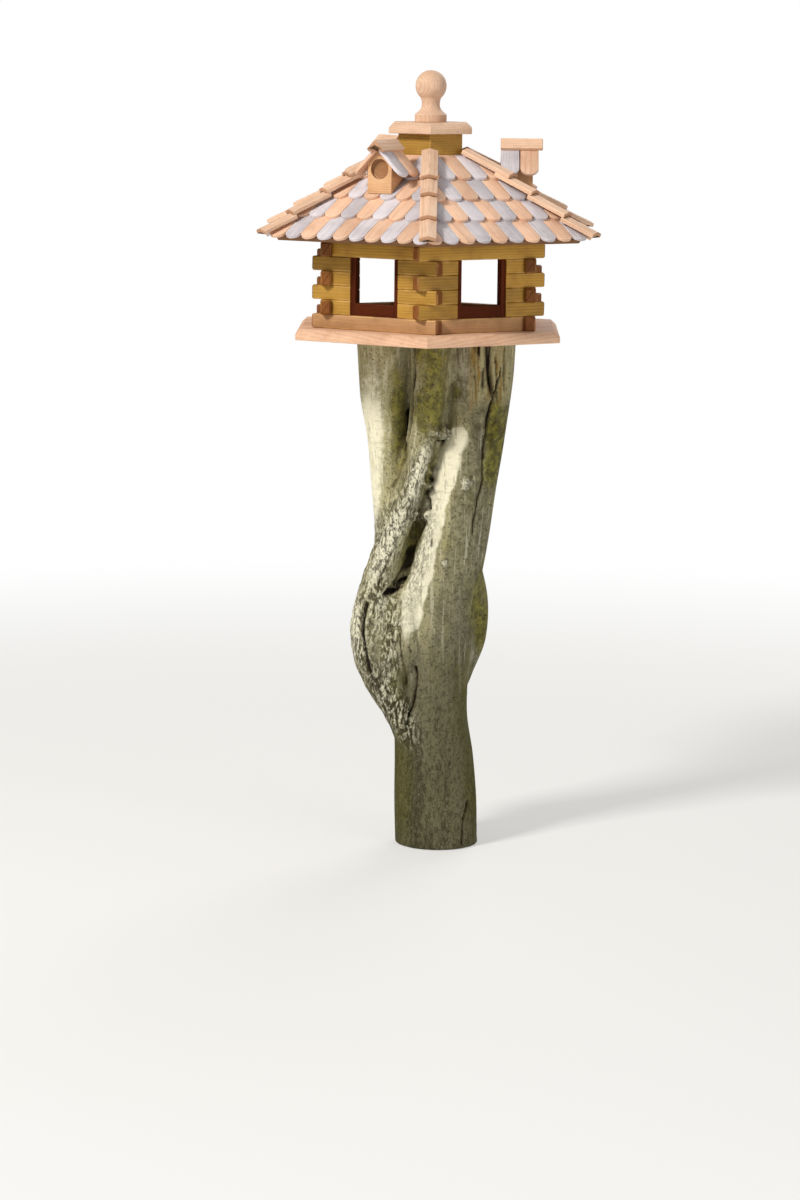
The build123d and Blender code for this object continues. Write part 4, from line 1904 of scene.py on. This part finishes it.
class Bark:
    """Skin of the trunk while it is carved, with its places and depths in millimetres."""

    def __init__(self, points: np.ndarray, normals: np.ndarray) -> None:
        """Start on the smooth trunk.

        Args:
            points: Its points in metres.
            normals: Its normals.
        """
        self.points = points
        self.normals = normals
        self.across = points[:, 0] / MM
        self.up = points[:, 2] / MM
        self.lift = np.zeros(len(points))
        names = (Mark.MOSS, Mark.PALE, Mark.BARK, Mark.DUSK, Mark.CREVICE, Mark.BARE)
        self.marks = {mark: np.zeros(len(points)) for mark in names}

    def turned(self, front: bool, gain: float, start: float = 0.0) -> np.ndarray:
        """How far each point looks to the front or else to the back, from 0 to 1."""
        facing = -self.normals[:, 1] if front else self.normals[:, 1]
        return np.clip(facing * gain + start, 0, 1)

    def strengthen(self, mark: Mark, values: np.ndarray) -> None:
        """Raise a mark to the given values where it is weaker."""
        self.marks[mark] = np.maximum(self.marks[mark], values)

    def away_from(self, route: Route, swing_by: np.ndarray | float = 0.0) -> np.ndarray:
        """Distance of each point from a route in the front view.

        Args:
            route: The route's points.
            swing_by: How far the points are first moved across.

        Returns:
            The distances.
        """
        across = self.across + swing_by
        nearest = np.full(len(across), np.inf)
        for (x0, z0), (x1, z1) in zip(route, route[1:]):
            run_x, run_z = x1 - x0, z1 - z0
            share = ((across - x0) * run_x + (self.up - z0) * run_z) / (run_x**2 + run_z**2)
            share = np.clip(share, 0, 1)
            away = np.hypot(across - x0 - share * run_x, self.up - z0 - share * run_z)
            nearest = np.minimum(nearest, away)
        return nearest

    def tint(self, mark: Mark, patches: Sequence[Patch]) -> None:
        """Lay soft patches of one mark.

        Args:
            mark: The mark.
            patches: Where it is.
        """
        for patch in patches:
            off_z = self.up - patch.z
            off_x = self.across - patch.x - patch.lean * off_z
            away = np.hypot(off_x / patch.half_x, off_z / patch.half_z)
            inside = np.clip(1.25 * (1 - away), 0, 1)
            share = patch.amount * inside * inside * (3 - 2 * inside)
            self.strengthen(mark, share * self.turned(patch.front, 3, 0.6))

    def stripe(self, band: Band, swing_by: np.ndarray) -> None:
        """Lay one band, whose edges waver by a length at each point."""
        inside = np.clip((band.half_width - self.away_from(band.route, swing_by)) / band.edge, 0, 1)
        self.strengthen(band.mark, inside * self.turned(True, 4) * band.amount)

    def ripple(self, growth: Sequence[Ripple], lumps: Sequence[Ripple]) -> None:
        """Make the skin uneven.

        Args:
            growth: Ripples of the whole trunk.
            lumps: Ripples where the bark is rough.
        """
        bark = self.marks[Mark.BARK]
        for index, point in enumerate(self.points):
            self.lift[index] = sum(part.at(*point) for part in growth)
            if bark[index] > 0.02:
                self.lift[index] += sum(part.at(*point) for part in lumps) * bark[index]

    def split(self, groove: Groove, swing_by: np.ndarray) -> None:
        """Open one groove, whose width swells and shrinks on its way.

        Args:
            groove: The groove.
            swing_by: How far it leaves its route at each point.
        """
        away = self.away_from(groove.route, swing_by)
        seen = self.turned(groove.front, 4, -0.2)
        swell = np.sin(self.up / 14.0 + 2.0) * np.sin(self.up / 31.0)
        cut = np.clip(1 - away / (groove.width * (0.95 + 0.5 * swell)), 0, 1) * seen
        soft = np.clip(1 - away / (groove.width * 3), 0, 1) ** 2 * seen
        self.lift -= cut**0.7 * groove.depth * 0.7 + soft * groove.depth * 0.3
        # Painted shade inside the crack.
        self.strengthen(Mark.CREVICE, np.clip(cut * 1.7, 0, 1) * groove.dark)

    def grow_knot(self, knot: Knot) -> None:
        """Raise one knot: an uneven collar, a dark ring round it and an eye in it.

        Args:
            knot: The knot.
        """
        across, up = self.across, self.up
        seen = self.turned(knot.front, 4, -0.4)
        turn = np.arctan2(up - knot.z, across - knot.x)
        uneven = 1 + 0.16 * np.sin(3 * turn + knot.x) + 0.1 * np.sin(5 * turn + knot.z)
        away = np.hypot(across - knot.x, (up - knot.z) * 0.85) / knot.radius * uneven
        collar = bell(away - 0.3, 0.22) * seen
        ring = bell(away - 0.95, 0.02) * seen
        eye_radius = 0.3 * knot.radius
        off_x = across - knot.x - eye_radius
        off_z = up - knot.z + 0.25 * knot.radius
        eye = bell(np.hypot(off_x, off_z * 0.7) / eye_radius, 1.0) * seen
        crag = np.sin(0.9 * across + 0.7 * up) * np.sin(0.5 * across - 1.1 * up)
        self.lift += (collar * (1 + 0.45 * knot.pale * crag) - eye * 0.4) * knot.height
        self.strengthen(Mark.CREVICE, eye * 0.5)
        self.strengthen(Mark.CREVICE, ring * (0.4 - 0.22 * knot.pale))
        self.strengthen(Mark.CREVICE, collar * 0.3 * (1 - knot.pale))
        self.strengthen(Mark.PALE, collar * knot.pale)
        self.strengthen(Mark.BARK, collar * knot.pale)
        # Pale knots take away the painted shade over them.
        self.marks[Mark.DUSK] *= 1 - np.clip(collar * knot.pale * 1.2, 0, 1)


@dataclass(frozen=True)
class TornHead:
    """Broken and splintered wood at the head of the right stem, in millimetres."""

    foot: float = 758.0
    foot_middle: float = 108.0
    middle: float = 100.0
    half_width: float = 34.0
    slivers: tuple[Route, ...] = (
        ((70, 862), (80, 822), (106, 770)), ((112, 866), (116, 830), (110, 785)),
    )
    gap: Route = ((97, 864), (100, 820), (107, 775))
    sliver_reach: float = 9.0
    sliver_height: float = 5.0
    gap_reach: float = 6.0
    gap_depth: float = 8.0
    shreds: Place = (190.0, 11.0)
    shred_height: float = 7.0
    shred_sink: float = 1.5

    def carve(self, bark: Bark) -> None:
        """Tear the wood, as two long slivers with a gap between them.

        Args:
            bark: The trunk's skin.
        """
        foot = self.foot - np.abs(bark.across - self.foot_middle) * 0.5
        torn = np.clip((bark.up - foot) / 26, 0, 1) * bark.turned(True, 3)
        torn *= np.clip((self.half_width - np.abs(bark.across - self.middle)) / 7, 0, 1)
        for route in self.slivers:
            near = np.clip(1 - bark.away_from(route) / self.sliver_reach, 0, 1)
            bark.lift += near * self.sliver_height * torn
        gap = np.clip(1 - bark.away_from(self.gap) / self.gap_reach, 0, 1) * torn
        bark.lift -= gap * self.gap_depth
        # Painted shade in the gap between the slivers.
        bark.strengthen(Mark.CREVICE, np.clip(gap * 1.3, 0, 0.85))
        crevice = bark.marks[Mark.CREVICE]
        for index in np.nonzero(torn > 0.01)[0]:
            x, _, z = bark.points[index]
            shred = noise.noise(Vector((x * self.shreds[0], z * self.shreds[1], 3.0)))
            bark.lift[index] += (shred * self.shred_height - self.shred_sink) * torn[index]
            # Painted shade in the hollows between the shreds.
            if shred < -0.2:
                crevice[index] = max(crevice[index], 0.8 * torn[index])
        bark.strengthen(Mark.BARE, torn)


@dataclass
class Trunk(Assembly):
    """Dead trunk of three stems that wind round each other."""

    height: float = 870.0 * MM
    voxel: float = 2.7 * MM
    limb_sides: int = 40
    foot_margin: float = 12.0 * MM
    top_margin: float = 8.0 * MM
    seat_gap: float = 0.2 * MM
    smooth_rounds: int = 7
    even_rounds: int = 12
    pull: float = 0.6
    # How painted shade darkens creases: the depth where it starts and the depth over which it grows, in
    # millimetres, and its most.
    clean_depth: float = 0.7
    dirt_depth: float = 4.0
    most_dirt: float = 0.42
    stem: Limb = each(
        Station, (0.00, 24, 0, 71, 66), (0.09, 22, 0, 71, 64), (0.18, 18, 1, 67, 60),
        (0.26, 11, 2, 62, 57), (0.36, 14, 4, 63, 56), (0.48, 20, 6, 68, 56), (0.58, 37, 6, 66, 55),
        (0.69, 55, 4, 61, 52), (0.81, 80, 2, 52, 50), (0.91, 90, 0, 53, 52), (1.00, 93, 0, 54, 54),
    )
    strand: Limb = each(
        Station, (0.20, -24, -18, 20, 26), (0.26, -42, -20, 26, 34), (0.31, -63, -18, 35, 40),
        (0.37, -84, -12, 36, 44), (0.44, -87, -8, 38, 44), (0.52, -78, -12, 31, 40),
        (0.62, -53, -20, 26, 36), (0.72, -24, -22, 28, 33), (0.82, -2, -20, 30, 36),
        (0.92, 6, -16, 35, 44), (1.00, 8, -14, 38, 48),
    )
    left_stem: Limb = each(
        Station, (0.50, -60, 6, 34, 38), (0.60, -55, 10, 32, 36), (0.70, -62, 10, 31, 36),
        (0.80, -67, 10, 34, 38), (0.88, -72, 8, 41, 42), (1.00, -71, 6, 49, 48),
    )
    rear_stem: Limb = each(
        Station, (0.44, -22, 20, 34, 26), (0.60, -10, 24, 34, 27), (0.75, 0, 27, 36, 28),
        (0.88, 6, 28, 38, 30), (1.00, 8, 28, 40, 32),
    )
    rear_lobe: Limb = each(
        Station, (0.27, 34, 18, 24, 26), (0.34, 54, 30, 30, 30), (0.40, 67, 34, 36, 32),
        (0.48, 69, 34, 38, 33), (0.56, 58, 28, 34, 30), (0.62, 48, 20, 28, 26),
    )
    roll: Limb = each(
        Station, (0.22, -27, -34, 9, 9), (0.27, -44, -40, 14, 13), (0.33, -62, -44, 18, 15),
        (0.40, -76, -42, 18, 14), (0.47, -80, -36, 18, 14), (0.53, -76, -32, 15, 12),
    )
    hump: Limb = each(
        Station, (0.34, -30, -34, 7, 7), (0.37, -27, -43, 13, 13), (0.40, -26, -46, 16, 15),
        (0.44, -33, -42, 18, 14), (0.49, -31, -36, 15, 12), (0.54, -20, -34, 9, 8),
    )
    bark_ridge: Limb = each(
        Station, (0.24, -34, -34, 9, 9), (0.28, -42, -42, 13, 13), (0.34, -52, -44, 16, 14),
        (0.41, -57, -42, 17, 14), (0.47, -56, -36, 14, 12), (0.52, -48, -30, 9, 9),
    )
    grooves: tuple[Groove, ...] = each(
        Groove,
        (((122, 820), (116, 784), (108, 764), (99, 730), (97, 704), (95, 667)), 2.8, 7),
        (((95, 667), (94, 634), (86, 600), (82, 566), (80, 540)), 2, 4, 0.75),
        (((-26, 869), (-24, 826), (-24, 790), (-28, 750), (-34, 700), (-38, 664)), 3.6, 9, 0.9),
        (((-38, 664), (-46, 640), (-58, 618)), 3, 3, 0.4),
        (((39, 869), (31, 784), (28, 737), (19, 710), (15, 667), (8, 644)), 4, 4, 0.3),
        (((12, 655), (6, 624), (2, 604), (6, 582)), 4, 6, 0.5),
        (((-4, 560), (-14, 540), (-24, 514), (-32, 484), (-42, 460), (-54, 444)), 8, 8, 0.5),
        (((-32, 462), (-46, 446), (-66, 437)), 4, 9, 1),
        (((-14, 313), (-13, 280), (-18, 248), (-27, 215)), 2.6, 5, 0.9),
        (((-53, 514), (-66, 488), (-78, 453)), 2.2, 3, 0.6),
        (((-101, 418), (-107, 392), (-105, 366), (-98, 336), (-94, 304)), 6, 8, 0.9),
        (((-40, 424), (-42, 396), (-40, 352), (-34, 318), (-30, 284)), 3, 3, 0.3),
        (((-26, 352), (-20, 340)), 2.4, 4, 0.8),
        (((77, 80), (71, 48), (69, 8)), 2.6, 5, 0.9),
        (((9, 532), (9, 518)), 2.2, 3, 0.8),
        (((36, 703), (27, 694), (17, 699)), 3.2, 4, 0.85),
        (((30, 860), (22, 700), (34, 560), (20, 430), (12, 330)), 3.4, 6, 0.9, False),
        (((-70, 800), (-60, 690), (-72, 600)), 2.6, 4, 0.8, False),
        (((-20, 260), (-8, 170), (-16, 60)), 2.6, 4, 0.8, False),
        (((70, 250), (62, 160), (66, 90)), 2.4, 4, 0.8, False),
    )
    knots: tuple[Knot, ...] = each(
        Knot, (50, 777, 15, 2), (87, 714, 10, 5), (118, 713, 13, 7), (67, 626, 11, 7, 1),
        (13, 713, 8, 12, 1), (25, 708, 10, 19, 1), (33, 492, 6, 5, 0.9),
        (-13, 566, 11, 10, 0.8), (10, 642, 8, 9, 0.5), (3, 620, 9, 11, 0.8),
        (3, 570, 8, 9, 0.9), (6, 603, 6, 5, 0.4), (60, 700, 11, 3.5, 0, False),
        (-64, 520, 9, 4, 0.3, False), (10, 150, 12, 3, 0, False),
    )
    mossy: tuple[Patch, ...] = each(
        Patch, (-50, 735, 22, 170, -0.06), (10, 780, 40, 140, 0.1), (-24, 520, 22, 90, 0.36),
        (4, 640, 12, 60, 0.3, 0.8), (-40, 280, 24, 80, 0, 0.8), (96, 400, 28, 130),
        (114, 700, 26, 150, 0.1), (-78, 390, 16, 60, 0, 0.5), (-42, 110, 36, 170),
        (92, 130, 34, 190, -0.04), (66, 260, 30, 140, 0, 0.7), (50, 777, 14, 18, 0, 0.8),
        (80, 700, 40, 200, 0, 0.6, False), (-40, 500, 50, 260, 0, 0.8, False),
        (40, 250, 50, 160, 0, 0.7, False),
    )
    # Pale patches, partly weathered pale wood and partly painted sunlight on lit parts.
    bleached: tuple[Patch, ...] = each(
        Patch, (-94, 670, 34, 210), (-14, 640, 20, 80, 0.3, 0.8), (-64, 520, 26, 120, 0.4, 0.7),
        (-30, 405, 20, 70, 0, 0.8), (-74, 400, 16, 60, 0, 0.5), (-122, 380, 22, 130, 0, 0.8),
        (60, 800, 34, 70, 0, 0.4), (20, 600, 60, 240, 0, 0.5, False),
    )
    rough: tuple[Patch, ...] = each(
        Patch, (-58, 540, 44, 150, 0.42), (-16, 640, 26, 90, 0.3), (-82, 430, 46, 100, 0.1),
        (-114, 370, 42, 160), (-56, 370, 26, 130), (-60, 258, 44, 110, -0.5),
        (-8, 500, 26, 160, 0.2, 0.45), (-80, 430, 50, 180, 0, 0.9, False),
    )
    bands: tuple[Band, ...] = each(
        Band,
        # The first band is painted sunlight down the lit side of the stems, the next four are painted shade
        # on their shaded side, the last is moss.
        (Mark.PALE, ((52, 702), (42, 672), (32, 640), (19, 598), (-3, 492), (-26, 392)), 21, 6),
        (Mark.DUSK, ((108, 745), (104, 706), (90, 655), (80, 598), (68, 492)), 38, 7, 0.85),
        (Mark.DUSK, ((68, 492), (52, 400), (42, 320)), 38, 7, 0.85),
        (Mark.DUSK, ((66, 830), (72, 790), (80, 740)), 26, 9, 0.6),
        (Mark.DUSK, ((42, 330), (34, 200), (30, 120)), 44, 20, 0.5),
        (Mark.MOSS, ((4, 860), (8, 790), (2, 730)), 30, 12, 0.9),
    )
    growth: tuple[Ripple, ...] = (Ripple(16, 7, 1.5), Ripple(60, 6, 0.8, 4.0))
    lumps: tuple[Ripple, ...] = (Ripple(80, 44, 2.4), Ripple(210, 110, 1.9))
    waver: tuple[Wave, ...] = (Wave(1.6, 13.0), Wave(1.1, 5.1, 1.0))
    sway: tuple[Wave, ...] = (Wave(1.1, 17.0), Wave(0.55, 7.3, 1.0), Wave(0.275, 3.1, 2.0))
    torn_head: TornHead = TornHead()

    def build(self) -> None:
        """Grow the trunk and dress it."""
        piece = show("trunk_wood", self._limbs())
        skin = piece.modifiers.new("skin", "REMESH")
        skin.mode = "VOXEL"
        skin.voxel_size = self.voxel
        bake(piece)
        mesh = piece.data
        smooth = self._relaxed(mesh, self._read(mesh.vertices, "co"), self.smooth_rounds)
        bark = Bark(smooth, self._normals(mesh, smooth))
        self._carve(bark)
        held = np.clip(smooth[:, 2] / self.foot_margin, 0, 1)
        held *= np.clip((self.height - smooth[:, 2]) / self.top_margin, 0, 1)
        points = smooth + bark.normals * (bark.lift * MM * held)[:, None]
        # Painted shade in creases, by their depth, added to the crevice mark.
        crevice = bark.marks[Mark.CREVICE] + self._hollow(mesh, points)
        bark.marks[Mark.CREVICE] = np.clip(crevice, 0, 1)
        points[:, 2] = np.clip(points[:, 2], 0.0, self.height - self.seat_gap)
        mesh.vertices.foreach_set("co", points.astype(np.float32).ravel())
        for mark, values in bark.marks.items():
            stored = mesh.attributes.new(mark.value, "FLOAT", "POINT")
            stored.data.foreach_set("value", values.astype(np.float32))
        self.rack.dress(mesh, Finish.BARK)
        mesh.update()
        mesh.shade_smooth()
        hand_over(piece, Finish.BARK, "trunk")

    def _carve(self, bark: Bark) -> None:
        """Give the trunk its tones, its relief, its cracks and its knots.

        Args:
            bark: The trunk's skin.
        """
        bark.tint(Mark.MOSS, self.mossy)
        bark.tint(Mark.PALE, self.bleached)
        bark.tint(Mark.BARK, self.rough)
        waver = swing(bark.up, self.waver)
        for band in self.bands:
            bark.stripe(band, waver)
        bark.ripple(self.growth, self.lumps)
        sway = swing(bark.up, self.sway)
        for groove in self.grooves:
            bark.split(groove, sway)
        for knot in self.knots:
            bark.grow_knot(knot)
        self.torn_head.carve(bark)

    def _limbs(self) -> bpy.types.Mesh:
        """Closed smooth tubes through the stations of every limb.

        Returns:
            The mesh of all tubes, which run into each other.
        """
        tubes = Joinery("trunk_wood", seed=0)
        circle = [on_circle(1.0, 2 * math.pi * side / self.limb_sides) for side in range(self.limb_sides)]
        stems = (self.stem, self.strand, self.left_stem, self.rear_stem)
        swellings = (self.rear_lobe, self.roll, self.hump, self.bark_ridge)
        for stations in (*stems, *swellings):
            rings = []
            for cut in self._smooth_sections(stations):
                outline = [(cut.x + cut.half_x * x, cut.y + cut.half_y * y) for x, y in circle]
                up = cut.share * self.height / MM
                rings.append([Vector((x, y, up)) * MM for x, y in outline])
            tubes.add(Timber.from_rings(rings, ()))
        return tubes.skin()

    @staticmethod
    def _smooth_sections(stations: Sequence[Station], steps: int = 8) -> list[Station]:
        """Sections on a smooth curve through the stations.

        Args:
            stations: The stations.
            steps: Sections from one station to the next.

        Returns:
            The sections.
        """
        rows = np.array([astuple(station) for station in stations])
        padded = np.vstack((2 * rows[0] - rows[1], rows, 2 * rows[-1] - rows[-2]))
        sections = []
        for place in range(len(rows) - 1):
            before, start, end, after = padded[place : place + 4]
            bend = 2 * before - 5 * start + 4 * end - after
            twist = 3 * start - before - 3 * end + after
            for step in range(steps):
                share = step / steps
                row = 0.5 * (2 * start + (end - before) * share + bend * share**2 + twist * share**3)
                row[0] = start[0] + (end[0] - start[0]) * share
                sections.append(Station(*row))
        sections.append(Station(*rows[-1]))
        return sections

    @staticmethod
    def _read(source: bpy.types.bpy_prop_collection, name: str) -> np.ndarray:
        """Three values of each point.

        Args:
            source: The mesh's points or normals.
            name: Name of the values.

        Returns:
            The values, a row for each point.
        """
        values = np.empty(len(source) * 3, dtype=np.float32)
        source.foreach_get(name, values)
        return values.reshape(-1, 3).astype(float)

    def _relaxed(self, mesh: bpy.types.Mesh, points: np.ndarray, rounds: int) -> np.ndarray:
        """Points moved towards the mean of their neighbours.

        Args:
            mesh: The mesh, for its edges.
            points: Its points.
            rounds: How many times.

        Returns:
            The moved points.
        """
        edges = np.empty(len(mesh.edges) * 2, dtype=np.int32)
        mesh.edges.foreach_get("vertices", edges)
        starts, ends = edges.reshape(-1, 2).T
        count = len(points)
        degree = np.bincount(edges, minlength=count).reshape(-1, 1)
        for _ in range(rounds):
            total = np.zeros_like(points)
            for axis in range(3):
                total[:, axis] = np.bincount(starts, points[ends, axis], count)
                total[:, axis] += np.bincount(ends, points[starts, axis], count)
            points = points * (1 - self.pull) + total / degree * self.pull
        return points

    def _normals(self, mesh: bpy.types.Mesh, points: np.ndarray) -> np.ndarray:
        """Normals of a mesh at its moved points.

        Args:
            mesh: The mesh.
            points: Its points.

        Returns:
            The normals.
        """
        mesh.vertices.foreach_set("co", points.astype(np.float32).ravel())
        mesh.update()
        return self._read(mesh.vertex_normals, "vector")

    def _hollow(self, mesh: bpy.types.Mesh, points: np.ndarray) -> np.ndarray:
        """How deep each point lies in a crease, as painted shade that darkens it.

        Args:
            mesh: The mesh.
            points: Its carved points.

        Returns:
            The painted shade, from 0 to its most.
        """
        normals = self._normals(mesh, points)
        even = self._relaxed(mesh, points, self.even_rounds)
        depth = np.einsum("ij,ij->i", even - points, normals) / MM
        return np.clip((depth - self.clean_depth) / self.dirt_depth, 0, self.most_dirt)


def dress_panels(rack: FinishRack) -> None:
    """Give the roof panels, which the frame shows as they are, their finish."""
    for face in Face:
        rack.dress(bpy.data.objects[face.node + "_roof_panel"].data, Finish.PANEL)


def main() -> None:
    """Build the scene."""
    logging.basicConfig(level=logging.INFO, format="%(name)s: %(message)s")
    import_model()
    Studio().build()
    rack = FinishRack()
    walls = LogWalls(rack)
    walls.build()
    WindowFrames(rack, walls).build()
    HexPlates(rack).build()
    Finial(rack).build()
    plan = RoofPlan()
    dormers = Dormers(rack, plan)
    dormers.build()
    Shingles(rack, plan, dormers).build()
    HipCaps(rack, plan).build()
    dress_panels(rack)
    Trunk(rack).build()


if __name__ == "__main__":
    main()
